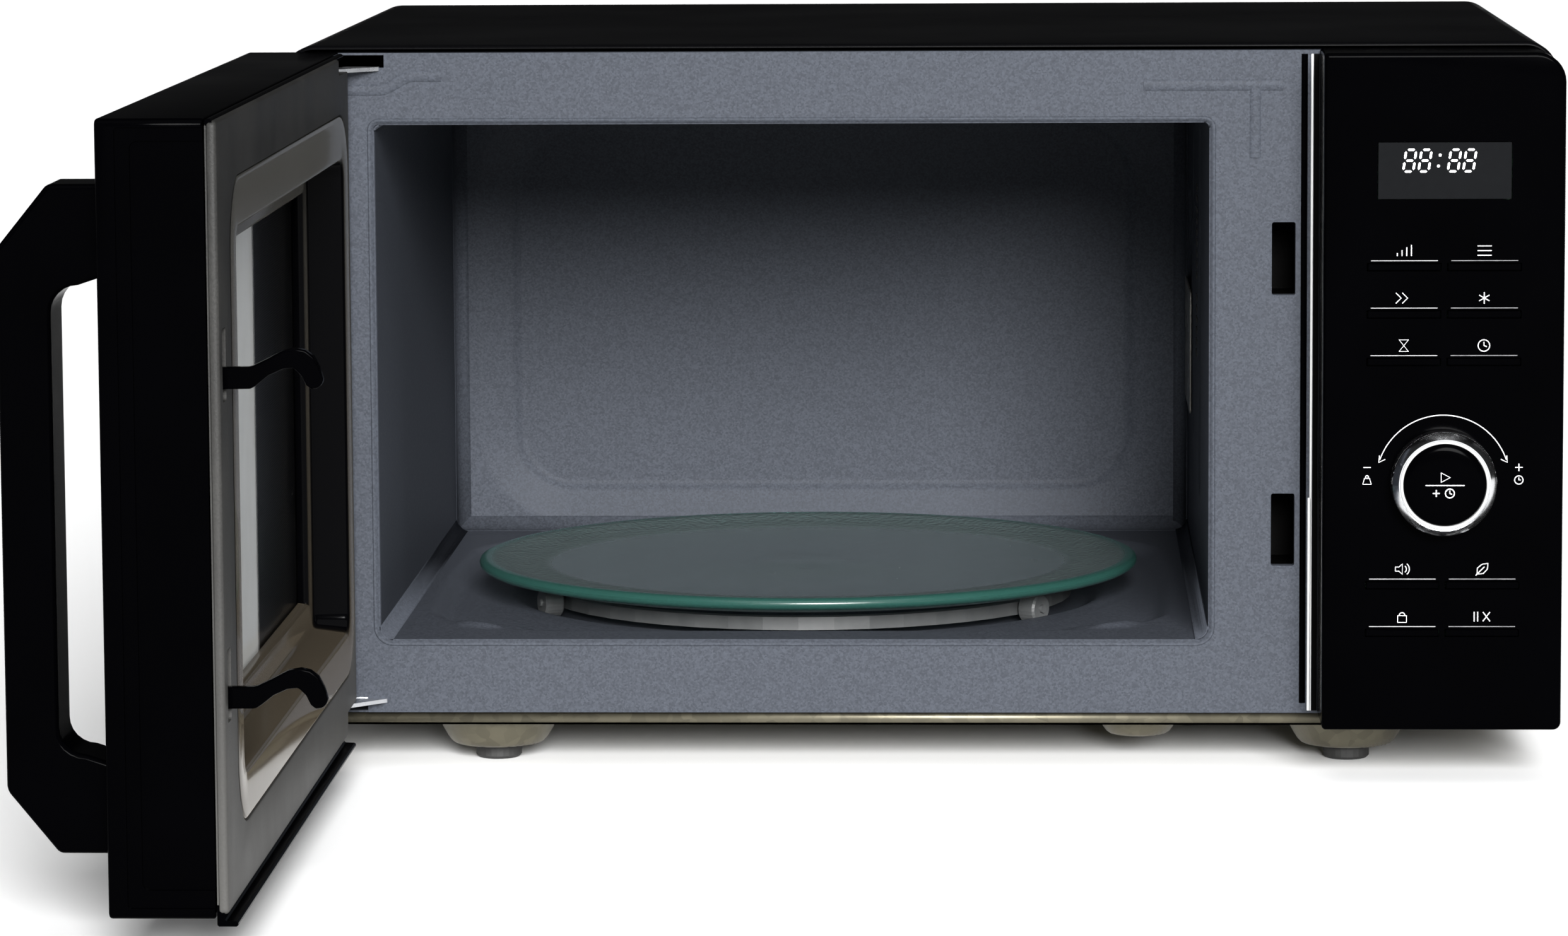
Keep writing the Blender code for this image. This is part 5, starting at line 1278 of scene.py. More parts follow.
class OVEN_OT_turntable(Maker, bpy.types.Operator):
    """Build the glass tray with its three lugs"""

    bl_idname = "oven.turntable"
    bl_label = "Turntable"

    def make(self):
        radius = (TRAY_HIGH.x - TRAY_LOW.x) / 2
        bottom = TRAY_LOW.z + 4 * MM
        rim = TRAY_HIGH.z
        profile = [
            (0.0, bottom + 4.2 * MM), (14 * MM, bottom + 4.2 * MM), (18 * MM, bottom + 3.8 * MM),
            (radius - 34 * MM, bottom + 3.8 * MM), (radius - 30 * MM, bottom + 4.3 * MM),
            (radius - 18 * MM, bottom + 4.7 * MM), (radius - 11 * MM, bottom + 6.0 * MM),
            (
                radius - 6.5 * MM, rim - 0.5 * MM
            ), (radius - 4.5 * MM, rim), (radius - 2.2 * MM, rim - 0.1 * MM),
            (
                radius - 0.5 * MM, rim - 0.8 * MM
            ), (radius, rim - 2.0 * MM), (radius - 0.3 * MM, rim - 3.2 * MM),
            (radius - 2.0 * MM, rim - 4.4 * MM), (radius - 9 * MM, bottom + 1.4 * MM),
            (radius - 14 * MM, bottom + 0.25 * MM), (radius - 20 * MM, bottom), (0.0, bottom),
        ]  # fmt: skip
        plate = turned("tray", profile[1:-1], TURN_CENTRE)
        lugs = []
        for i in range(3):
            a = math.radians(30 + 120 * i)
            spot = Vector(
                (TURN_CENTRE.x, TURN_CENTRE.y, 0)
            ) + 18 * MM * Vector((math.cos(a), math.sin(a), 0))
            lug = [
                (0, bottom + 0.4 * MM),
                (3.4 * MM, bottom + 0.4 * MM),
                (3 * MM, TRAY_LOW.z + 0.4 * MM),
                (0, TRAY_LOW.z),
            ]
            lugs.append(turned("lug", lug, spot, steps=20))
        plate = merged("tray_plate", [plate, *lugs])
        piece("tray_plate", plate, "clear_glass", "tray", ["glass_tray"], 50)


class OVEN_OT_controls(Maker, bpy.types.Operator):
    """Build the control panel's housing, display, dial and printed marks"""

    bl_idname = "oven.controls"
    bl_label = "Controls"

    def make(self):
        self.housing()
        self.display()
        self.dial()
        self.labels()

    def housing(self):
        low, high = (PANEL_LOW.x, PANEL_LOW.z), (PANEL_HIGH.x, PANEL_HIGH.z)
        front, back = PANEL_LOW.y, PANEL_HIGH.y
        radii = (1.5 * MM, 3 * MM, 11 * MM, 1.5 * MM)
        steps = [
            (0.0, back), (0.0, front + 34 * MM), (
                0.25 * MM, front + 33.6 * MM
            ), (0.25 * MM, front + 33.0 * MM),
            (0.0, front + 32.6 * MM), (0.0, front + 1.3 * MM), (0.12 * MM, front + 0.75 * MM),
            (0.4 * MM, front + 0.35 * MM), (0.85 * MM, front + 0.1 * MM), (1.5 * MM, front),
        ]  # fmt: skip
        inner = [(2.6 * MM, front + 2.2 * MM), (2.6 * MM, back)]
        made = piece(
            "panel_housing",
            self.faced(low, high, radii, steps, inner),
            "gloss_black",
            replaces=["control_housing"],
        )
        holes = []
        for i in range(1, 11):
            key_low, key_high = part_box(f"button_{i}")
            centre = Vector(((key_low.x + key_high.x) / 2, 0, (key_low.z + key_high.z) / 2))
            half = ((key_high.x - key_low.x) / 2 + 0.3 * MM, 1.3 * MM + 0.3 * MM)
            outline = rounded(
                (centre.x - half[0], centre.z - half[1]),
                (centre.x + half[0], centre.z + half[1]),
                0.3 * MM,
                2,
            )
            holes.append(slab("key_hole", [outline], front - 3 * MM, front + 6 * MM))
        screen_low, screen_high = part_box("display_window")
        gap = 0.3 * MM
        outline = rounded(
            (screen_low.x - gap, screen_low.z - gap),
            (screen_high.x + gap, screen_high.z + gap),
            0.4 * MM,
            2,
        )
        holes.append(slab("screen_hole", [outline], front - 3 * MM, front + 6 * MM))
        cut(made, holes)

    def faced(self, low, high, radii, rings, inner):
        """The housing as one closed skin: outside, front face and inside."""
        outside = [
            upright(rounded(*inset(low, high, by), tuple(max(r - by, 0.3 * MM) for r in radii)), y)
            for by, y in rings
        ]
        inside = [
            upright(rounded(*inset(low, high, by), tuple(max(r - by, 0.3 * MM) for r in radii)), y)
            for by, y in inner
        ]
        count = len(outside[0])
        points = [point for ring in outside + inside for point in ring]
        faces = []
        for i in range(len(outside) - 1):
            faces += self.band(i, i + 1, count)
        faces.append(tuple((len(outside) - 1) * count + j for j in range(count)))
        first = len(outside)
        faces.append(tuple(first * count + j for j in range(count)))
        for i in range(first, first + len(inside) - 1):
            faces += self.band(i, i + 1, count)
        faces += self.band(first + len(inside) - 1, 0, count)
        return to_mesh("panel_housing", points, faces)

    def band(self, a, b, count):
        return [
            (a * count + j, a * count + (j + 1) % count, b * count + (j + 1) % count, b * count + j)
            for j in range(count)
        ]

    def display(self):
        low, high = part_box("display_window")
        front = low.y
        size = (high.x - low.x, high.z - low.z)
        digits = []
        tall = 0.385 * size[1]
        wide = 0.5 * tall
        left = low.x + 0.182 * size[0]
        base = low.z + 0.487 * size[1]
        for i in range(4):
            x = left + (0.0, 0.70, 2.04, 2.74)[i] * tall
            digits += seven_segments(x, base, wide, tall)
        for share in (0.25, 0.75):
            x, z = left + (1.6 + 0.14 * share) * tall, base + share * tall
            digits.append(rounded((x - 0.5 * MM, z - 0.5 * MM), (x + 0.5 * MM, z + 0.5 * MM), 0.3 * MM, 3))
        mesh = slab("display_digits", digits, front - 0.08 * MM, front - 0.01 * MM)
        piece("display_digits", mesh, "segment", angle=20)

    def dial(self):
        centre = Vector(JOINTS["knob_spin"]["pos_m"])
        ring = [
            (
                16.75, 11.0
            ), (16.75, 12.3), (17.0, 12.7), (17.3, 12.75), (19.5, 10.1), (19.75, 9.6), (19.8, 9.0),
            (19.9, 1.4), (19.7, 0.8), (19.0, 0.6), (8.0, 0.6), (8.0, -2.0), (7.0, -2.0), (7.0, 3.0), (
                16.75, 3.0
            ),
        ]  # fmt: skip
        mesh = turned_ring("dial_ring", [(r * MM, h * MM) for r, h in ring], centre)
        piece("dial_ring", mesh, "chrome", "knob", ["knob_ring"], 30)
        cap = [
            (0.0, 12.9), (
                8.0, 12.85
            ), (13.0, 12.6), (14.9, 12.3), (15.3, 12.0), (15.5, 11.4), (15.5, 7.0), (4.5, 7.0),
            (4.5, -3.0), (0.0, -3.0),
        ]  # fmt: skip
        mesh = turned("start_cap", [(max(r, 0.02) * MM, h * MM) for r, h in cap], centre, "Y")
        piece("start_cap", mesh, "gloss_black", "start", ["start_button"], 30)
        # A thin pale ring between the cap and the bezel, in the finish that paints a highlight.
        bright = [
            (15.65, 11.9),
            (15.75, 12.6),
            (16.0, 12.9),
            (16.4, 12.9),
            (16.65, 12.6),
            (16.7, 11.9),
            (16.7, 8.0),
            (15.65, 8.0),
        ]
        mesh = turned_ring("dial_bright_ring", [(r * MM, h * MM) for r, h in bright], centre)
        piece("dial_bright_ring", mesh, "painted_edge_highlight", "knob", angle=30)
        face = centre.y - 12.9 * MM
        triangle = [(-1.5, 1.2), (1.9, 3.0), (-1.5, 4.8), (-1.5, 1.2)]
        plus = [[(-4.6, -3.0), (-2.0, -3.0)], [(-3.3, -4.3), (-3.3, -1.7)]]
        clock = placed(ICONS["clock"], 1.8, -3.0, 3.4)
        lines = [triangle, [(-7.3, 0.0), (7.3, 0.0)], *plus, *clock]
        lines = [[(centre.x + x * MM, centre.z + z * MM) for x, z in line] for line in lines]
        marks("start_mark", lines, face, 0.42 * MM, "start")

    def labels(self):
        front = PANEL_LOW.y
        centre = Vector(JOINTS["knob_spin"]["pos_m"])
        sweep = [(centre.x + x, centre.z + z) for x, z in arc((0, 0), 25.2 * MM, 161, 19, 40)]
        lines = [sweep]
        for side in (-1, 1):
            tip = Vector((centre.x + side * 24.2 * MM, centre.z + 7.2 * MM))
            lines.append(
                [
                    (tip.x - side * 0.2 * MM, tip.y + 2.6 * MM),
                    tuple(tip),
                    (tip.x - side * 2.4 * MM, tip.y + 1.2 * MM),
                ]
            )
        for side, icon in ((-1, "weight"), (1, "glass")):
            x, z = centre.x + side * 28.6 * MM, centre.z + 5.3 * MM
            lines.append([(x - 1.4 * MM, z), (x + 1.4 * MM, z)])
            if side > 0:
                lines.append([(x, z - 1.4 * MM), (x, z + 1.4 * MM)])
            lines += placed(ICONS[icon], x, z - 4.8 * MM, 3.2 * MM)
        marks("dial_marks", lines, front, 0.36 * MM)
        names = ("level", "menu", "quick", "flake", "timer", "clock", "sound", "leaf", "lock", "stop")
        icons = []
        for i, name in enumerate(names):
            low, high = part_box(f"button_{i + 1}")
            icons += placed(ICONS[name], (low.x + high.x) / 2, high.z + 3.6 * MM, 4.4 * MM)
        marks("key_marks", icons, front, 0.36 * MM)
        self.painted_key_highlights(front)

    def painted_key_highlights(self, front):
        """A painted highlight along the upper edge of each key: a thin pale bar."""
        for i in range(1, 11):
            low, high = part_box(f"button_{i}")
            path = [
                (low.x + 1.2 * MM, low.y + 0.12 * MM, high.z - 0.12 * MM),
                (high.x - 1.2 * MM, low.y + 0.12 * MM, high.z - 0.12 * MM),
            ]
            # A thin bar that paints the highlight on the key's upper edge.
            edge = tube("painted_key_highlight", path, 0.17 * MM, False, 1)
            piece(f"painted_key_highlight_{i}", edge, "painted_key_highlight", f"key_{i}", angle=60)


def turned_ring(name, profile, centre):
    """A closed profile turned about an axis along Y."""
    steps = sizes().round_steps
    rings = []
    for radius, height in profile:
        angles = [2 * math.pi * i / steps for i in range(steps)]
        rings.append(
            [centre + Vector((radius * math.cos(a), -height, radius * math.sin(a))) for a in angles]
        )
    return skin(name, rings, wrap=True)


def seven_segments(x, z, wide, tall):
    """The seven slanted bars of a display figure eight."""
    t = 0.105 * tall
    gap = 0.03 * tall
    half = tall / 2
    bars = []
    for level in (0.0, half, tall):
        a, b = x + gap + t * 0.5, x + wide - gap - t * 0.5
        z0 = z + level
        bars.append(
            [
                (a, z0),
                (a + t / 2, z0 - t / 2),
                (b - t / 2, z0 - t / 2),
                (b, z0),
                (b - t / 2, z0 + t / 2),
                (a + t / 2, z0 + t / 2),
            ]
        )
    for side in (x + t * 0.2, x + wide - t * 0.2):
        for base in (z, z + half):
            a, b = base + gap + t * 0.4, base + half - gap - t * 0.4
            bars.append(
                [
                    (side, a),
                    (side + t / 2, a + t / 2),
                    (side + t / 2, b - t / 2),
                    (side, b),
                    (side - t / 2, b - t / 2),
                    (side - t / 2, a + t / 2),
                ]
            )
    return [[(px + 0.14 * (pz - z), pz) for px, pz in bar] for bar in bars]


def circle(x, z, radius, steps=16, start=0, end=360):
    points = arc((x, z), radius, start, end, steps)
    return points[:-1] + [points[0]] if end - start == 360 else points


ICONS = {
    "level": [[(x, -0.45), (x, top)] for x, top in ((-0.6, -0.2), (-0.2, 0.05), (0.2, 0.3), (0.6, 0.5))],
    "menu": [[(-0.6, z), (0.6, z)] for z in (-0.4, 0.0, 0.4)],
    "quick": [[(-0.7, -0.45), (-0.25, 0.0), (-0.7, 0.45)], [(-0.15, -0.45), (0.3, 0.0), (-0.15, 0.45)]],
    "flake": [
        [(-0.5 * math.cos(a), -0.5 * math.sin(a)), (0.5 * math.cos(a), 0.5 * math.sin(a))]
        for a in (0.52, 1.57, 2.62)
    ],
    "timer": [[(-0.4, 0.5), (0.4, 0.5), (-0.4, -0.5), (0.4, -0.5), (-0.4, 0.5)]],
    "clock": [circle(0, 0, 0.5), [(0, 0.32), (0, 0), (0.24, -0.1)]],
    "sound": [
        [
            (-0.6, -0.18),
            (-0.3, -0.18),
            (0.0, -0.45),
            (0.0, 0.45),
            (-0.3, 0.18),
            (-0.6, 0.18),
            (-0.6, -0.18),
        ],
        circle(0.0, 0, 0.35, 6, -50, 50), circle(0.0, 0, 0.6, 8, -50, 50),
    ],
    "leaf": [
        [(-0.45, -0.45), (-0.4, 0.1), (0.0, 0.42), (0.5, 0.5), (0.45, 0.0), (0.1, -0.38), (-0.45, -0.45)],
        [(-0.55, -0.55), (0.2, 0.2)],
    ],
    "lock": [
        [(-0.38, -0.5), (0.38, -0.5), (0.38, 0.08), (-0.38, 0.08), (-0.38, -0.5)],
        circle(0, 0.1, 0.25, 8, 0, 180),
    ],
    "stop": [
        [(-0.65, -0.42), (-0.65, 0.42)],
        [(-0.35, -0.42), (-0.35, 0.42)],
        [(0.1, -0.4), (0.7, 0.4)],
        [(0.1, 0.4), (0.7, -0.4)],
    ],
    "weight": [
        [(-0.5, -0.5), (0.5, -0.5), (0.3, 0.2), (-0.3, 0.2), (-0.5, -0.5)], circle(0, 0.38, 0.17, 10)
    ],
    "glass": [circle(0, 0, 0.5), [(0, 0.3), (0, 0), (0.22, 0)]],
}  # fmt: skip


def placed(lines, x, z, size):
    """Icon lines scaled and moved to a place on the panel."""
    return [[(x + px * size, z + pz * size) for px, pz in line] for line in lines]


def swing_corner():
    """A cutter for the door's inner corner beside the hinge, which passes the front plate as it turns."""
    outline = arc((HINGE.x, HINGE.y), SWING_RADIUS, 180, 90, 12)
    outline += [
        (HINGE.x, FACE + 5 * MM), (DOOR_LOW.x - 5 * MM, FACE + 5 * MM), (DOOR_LOW.x - 5 * MM, HINGE.y)
    ]
    return on_door(slab("swing_corner", [outline], DOOR_LOW.z - 10 * MM, DOOR_HIGH.z + 10 * MM, "Z"))


class OVEN_OT_door(Maker, bpy.types.Operator):
    """Build the door's shell, cover, glossy inner frame, screen, film, handle and hooks"""

    bl_idname = "oven.door"
    bl_label = "Door"

    def make(self):
        self.shell()
        self.cover()
        self.window()
        self.handle()
        self.hooks()

    def shell(self):
        low, high = (DOOR_LOW.x, DOOR_LOW.z), (DOOR_HIGH.x, DOOR_HIGH.z)
        front, back = DOOR_LOW.y, DOOR_HIGH.y
        step = [
            (2.3 * MM, back), (0.5 * MM, back), (0.15 * MM, back - 0.15 * MM), (0.0, back - 0.5 * MM),
            (0.0, front + 1.2 * MM), (0.12 * MM, front + 0.6 * MM), (0.5 * MM, front + 0.2 * MM),
            (1.1 * MM, front), (2.4 * MM, front), (2.4 * MM, front + 3 * MM), (2.3 * MM, back - 1 * MM),
        ]  # fmt: skip
        rings = [upright(rounded(*inset(low, high, by), max(2.2 * MM - by, 0.5 * MM)), y) for by, y in step]
        shell = on_door(skin("door_shell", rings, wrap=True))
        made = piece("door_shell", shell, "gloss_black", "door", ["door_frame"], 30)
        for tool in (*self.edge_recesses(low, high, front, back), *self.plate_notches(), swing_corner()):
            cut(made, [tool])
        glass = stepped(
            "door_outer_glass", *inset(low, high, 2.6 * MM), 1.5 * MM,
            [
                (0.4 * MM, front + 3.2 * MM),
                (0.0, front + 2.9 * MM),
                (0.0, front + 0.5 * MM),
                (0.15 * MM, front + 0.25 * MM),
                (0.5 * MM, front + 0.15 * MM),
            ],
            start=True, end=True,
        )  # fmt: skip
        piece("door_outer_glass", on_door(glass), "dark_glass", "door", ["door_glass"], 30)

    def edge_recesses(self, low, high, front, back):
        """The two stepped fields sunk in the door's free edge, as cutters."""
        cutters = []
        for start, below, above, depth, radius in ((6.4, 3.6, 2.8, 0.9, 1.2), (11.2, 9.5, 7.2, 1.8, 2.5)):
            outline = rounded(
                (
                    front + start * MM, low[1] + below * MM
                ), (back + 8 * MM, high[1] - above * MM), radius * MM, 6
            )
            x = high[0]
            rings = [[(x - depth * MM, y, z) for y, z in outline], [(x + 3 * MM, y, z) for y, z in outline]]
            cutters.append(on_door(skin("edge_recess", rings, start=True, end=True)))
        return cutters

    def plate_notches(self):
        """Cutters for the gaps through which the hinge plates enter the shell's left wall."""
        cutters = []
        for z in (DOOR_HIGH.z - UPPER_HINGE_INSET, DOOR_LOW.z + LOWER_HINGE_INSET):
            low = (DOOR_LOW.x - 2 * MM, HINGE.y - 4 * MM, z - 1 * MM)
            high = (DOOR_LOW.x + 3.4 * MM, DOOR_HIGH.y + 2 * MM, z + 2.5 * MM)
            cutters.append(on_door(block("plate_notch", low, high)))
        return cutters

    def cover(self):
        low, high = (COVER_LOW.x, DOOR_LOW.z + 1.4 * MM), (COVER_HIGH.x, DOOR_HIGH.z - 0.9 * MM)
        front, back = DOOR_HIGH.y + 0.4 * MM, FACE - COVER_GAP
        hole_low, hole_high = self.ring_field()
        outer = [
            (1.2 * MM, front), (
                1.2 * MM, front + 0.5 * MM
            ), (0.3 * MM, front + 0.9 * MM), (0.0, front + 1.5 * MM),
            (0.0, back - 1.1 * MM), (0.2 * MM, back - 0.5 * MM), (
                0.6 * MM, back - 0.12 * MM
            ), (1.1 * MM, back),
        ]  # fmt: skip
        rings = [upright(rounded(*inset(low, high, by), max(2 * MM - by, 0.4 * MM)), y) for by, y in outer]
        inner = [(-0.9 * MM, back), (-0.3 * MM, back - 0.25 * MM), (0.0, back - 0.9 * MM), (0.0, front)]
        rings += [upright(rounded(*inset(hole_low, hole_high, by), 24 * MM - by), y) for by, y in inner]
        mesh = skin("door_cover", rings, wrap=True)
        made = piece(
            "door_cover", on_door(mesh), "grained_cover", "door", ["choke_cover"], 30
        )
        tools = []
        for (slot_low, slot_high) in latch_slots():
            middle = (slot_low[1] + slot_high[1]) / 2
            box = ((slot_low[0] - 0.2 * MM, middle - 12 * MM), (slot_high[0] - 0.6 * MM, middle + 12 * MM))
            tools.append(
                on_door(slab("hook_slot", [rounded(*box, 1 * MM, 3)], front - 3 * MM, back + 3 * MM))
            )
        for z_low, z_high in ((high[1] - 6.2 * MM, high[1] + 3 * MM), (low[1] - 3 * MM, low[1] + 9.3 * MM)):
            corner = block(
                "hinge_corner",
                (low[0] - 4 * MM, front - 3 * MM, z_low),
                (CASE_LOW.x + 40 * MM, back + 3 * MM, z_high),
            )
            tools.append(on_door(corner))
        cut(made, tools)
        cut(made, [swing_corner()])
        self.lip(low, front, back)

    def lip(self, low, front, back):
        """The ledge under the cover's lower edge, with its bright drip line."""
        left, right = CASE_LOW.x + 41 * MM, DOOR_HIGH.x - 2 * MM
        z = COVER_LOW.z
        profile = [
            (front, low[1] + 3 * MM), (front, z + 0.5 * MM), (front + 0.5 * MM, z), (
                COVER_HIGH.y - 0.6 * MM, z
            ),
            (COVER_HIGH.y, z + 0.5 * MM), (COVER_HIGH.y, z + 1.2 * MM), (
                COVER_HIGH.y - 0.6 * MM, z + 1.7 * MM
            ),
            (back - 0.9 * MM, z + 1.8 * MM), (back - 1.4 * MM, z + 2.3 * MM), (
                back - 1.4 * MM, low[1] + 3 * MM
            ),
        ]  # fmt: skip
        rings = [[(x, y, height) for y, height in profile] for x in (left, right)]
        mesh = skin("door_lip", rings, start=True, end=True)
        piece("door_lip", on_door(mesh), "gloss_black", "door", angle=30)

    def ring_field(self):
        """The outline of the glossy inner frame, in X and Z."""
        return (CASE_LOW.x + 12 * MM, SILL + 19.3 * MM), (CASE_LOW.x + 364 * MM, SILL + 234.7 * MM)

    def window(self):
        low, high = inset(*self.ring_field(), 0.2 * MM)
        back = FACE - 0.85 * MM
        radius = 23.8 * MM
        steps = [
            (0.0, back - 3.6 * MM), (0.0, back - 1.2 * MM), (
                0.3 * MM, back - 0.5 * MM
            ), (0.9 * MM, back - 0.1 * MM),
            (1.6 * MM, back), (15.2 * MM, back), (
                16.2 * MM, back - 0.25 * MM
            ), (16.9 * MM, back - 0.9 * MM),
            (17.2 * MM, back - 2.0 * MM), (18.6 * MM, back - 12.0 * MM), (19.0 * MM, back - 13.0 * MM),
            (19.8 * MM, back - 13.7 * MM), (21.2 * MM, back - 14.0 * MM), (27.6 * MM, back - 14.1 * MM),
            (28.6 * MM, back - 14.4 * MM), (29.2 * MM, back - 15.2 * MM), (29.6 * MM, back - 18.2 * MM),
        ]  # fmt: skip
        frame_mesh = stepped("inner_frame", low, high, radius, steps)
        thicken(
            piece(
                "inner_frame",
                on_door(frame_mesh),
                "frame_gloss",
                "door",
                ["door_inner_panel"],
                30,
            ),
            0.6 * MM,
        )
        deep = back - 18.2 * MM
        inner = inset(low, high, 28.8 * MM)
        screen = stepped(
            "door_screen",
            *inner,
            4 * MM,
            [(0.0, deep - 1.2 * MM), (0.0, deep - 0.7 * MM)],
            start=True,
            end=True,
        )
        piece("door_screen", on_door(screen), "screen", "door", angle=30)
        clear = stepped(
            "door_film", *inner, 4 * MM, [(0.0, deep - 0.4 * MM), (0.0, deep)], start=True, end=True
        )
        piece("door_film", on_door(clear), "film", "door", ["window_film"], 30)
        self.drip_bead()

    def drip_bead(self):
        """The polished bead along the cover's upper edge."""
        y, z = DOOR_HIGH.y + 1.7 * MM, DOOR_HIGH.z - 1.35 * MM
        path = [(DOOR_HIGH.x - 2 * MM, y, z), (CASE_LOW.x + 12 * MM, y, z)]
        piece(
            "cover_bead",
            on_door(tube("cover_bead", path, 1.25 * MM, False, 4)),
            "gloss_black",
            "door",
            angle=60,
        )

    def handle(self):
        low, high = HANDLE_LOW, HANDLE_HIGH
        near, outer = high.y, low.y
        inner = outer + 17.5 * MM
        top, bottom = high.z, low.z
        arm = 33 * MM
        bend = 9 * MM
        outline = [
            (near, bottom), (outer + 17 * MM, bottom), (outer, bottom + 21 * MM), (outer, top - 21 * MM),
            (outer + 17 * MM, top), (near, top), (near, top - arm + 3 * MM),
        ]  # fmt: skip
        outline += arc((inner + bend, top - arm - bend), bend, 90, 180, 6)
        outline += arc((inner + bend, bottom + arm + bend), bend, 180, 270, 6)
        outline += [(near, bottom + arm - 3 * MM)]
        mesh = slab("pull_handle", [outline], low.x, high.x, "X")
        piece(
            "pull_handle", on_door(mesh), "gloss_black", "door", ["handle"], 30, 1.8 * MM, 4
        )

    def hooks(self):
        """The two hooks: each arm rises from its slot and ends in a rounded head that points down."""
        back = FACE - COVER_GAP
        for i, (low, high) in enumerate(latch_slots()):
            base = (low[1] + high[1]) / 2 - 8 * MM
            shape = [
                (-14, 0.0), (8.6, 0.2), (10.4, 1.4), (14.5, 4.6), (19.0, 6.6), (22.6, 7.0), (25.0, 4.6)
            ]
            shape += [
                (26.6, 1.4), (28.2, 0.1), (30.4, 0.4), (31.9, 1.8), (32.2, 3.4), (31.0, 7.4), (29.2, 10.8)
            ]
            shape += [
                (26.6, 12.8), (23.4, 13.5), (19.4, 12.8), (14.0, 10.0), (9.2, 7.7), (8.0, 7.4), (-14, 7.2)
            ]
            outline = [(back + y * MM, base + z * MM) for y, z in shape]
            mesh = slab(f"hook_{i + 1}", [outline], HOOK_LOW.x, HOOK_HIGH.x, "X")
            stands = ["latch_hooks"] if i == 0 else ()
            piece(
                f"hook_{i + 1}",
                on_door(mesh),
                "gloss_black",
                "latch",
                stands,
                40,
                0.8 * MM,
                3,
            )
        spine_low = (HOOK_LOW.x, HOOK_LOW.y, HOOK_LOW.z)
        spine = block("latch_bar", spine_low, (HOOK_HIGH.x, HOOK_LOW.y + 9 * MM, HOOK_HIGH.z))
        piece(
            "latch_bar",
            on_door(spine),
            "textured_black",
            "latch",
            angle=30,
            bevel=0.6 * MM,
        )


class OVEN_OT_base(Maker, bpy.types.Operator):
    """Build the base pan with its pressed bosses, and the screws"""

    bl_idname = "oven.base"
    bl_label = "Base"

    def make(self):
        floor = BASE_LOW.z + 11 * MM
        low = Vector((BASE_LOW.x, BASE_LOW.y, floor))
        high = Vector((BASE_HIGH.x, BASE_HIGH.y, BASE_HIGH.z))
        places = {}
        for name in ("front_left", "front_right", "rear_left", "rear_right"):
            foot_low, foot_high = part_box(f"foot_{name}")
            places[name] = ((foot_low + foot_high) / 2, 26 * MM, 17 * MM, 11 * MM)
        middle = places["front_right"][0].copy()
        middle.x = CASE_HIGH.x - 159 * MM
        places["middle"] = (middle, 18 * MM, 11 * MM, 7.4 * MM)
        pan = relief(
            "pan_floor", (low.x, high.y, floor), (high.x - low.x, 0, 0), (0, low.y - high.y, 0),
            lambda u, v: self.bosses(u, v, low, high, places), (300, 210),
        )  # fmt: skip
        thicken(
            piece("base_pan", pan, "galvanised", replaces=["base_plate"], angle=60),
            SHEET,
        )
        steps = [(low.x, low.y), (high.x, low.y), (high.x, high.y), (low.x, high.y)]
        rings = [[(x, y, z) for x, y in steps] for z in (floor, SILL - 0.5 * MM)]
        skirt = skin("base_skirt", rings)
        thicken(piece("base_skirt", skirt, "galvanised"), SHEET)
        self.screws(places)

    def bosses(self, u, v, low, high, places):
        out = 0 * u
        for centre, wide, narrow, drop in places.values():
            radius = np.hypot(u + low.x - centre.x, (high.y - v) - centre.y)
            out = out + drop * smooth((wide - radius) / (wide - narrow))
        return out

    def screws(self, places):
        heads = []
        right = places["front_right"][0]
        spots = [(CASE_HIGH.x - 126 * MM, BASE_LOW.y + 20 * MM), (right.x + 34 * MM, BASE_LOW.y + 60 * MM)]
        spots += [(-x, BASE_HIGH.y - 14 * MM) for x in (-180 * MM, 0.0, 180 * MM)]
        for x, y in spots:
            heads.append(screw_head((x, y, BASE_LOW.z + 11 * MM), "down"))
        piece("base_screws", merged("base_screws", heads), "zinc", angle=40)


def screw_head(place, looks):
    """A pan head with a cross recess. It looks down, or to the rear."""
    profile = [(0.02, 1.5), (1.6, 1.45), (2.9, 1.1), (3.7, 0.3), (3.8, 0.0)]
    head = turned("head", [(r * MM, h * MM) for r, h in profile], (0, 0, 0), steps=24)
    bars = [block("bar", (-1.7 * MM, -0.3 * MM, 1.3 * MM), (1.7 * MM, 0.3 * MM, 1.56 * MM))]
    bars.append(block("bar", (-0.3 * MM, -1.7 * MM, 1.3 * MM), (0.3 * MM, 1.7 * MM, 1.56 * MM)))
    mesh = merged("screw", [head, *bars])
    turn = {"down": 180, "rear": -90}[looks]
    mesh.transform(Matrix.Translation(place) @ Matrix.Rotation(math.radians(turn), 4, "X"))
    return mesh


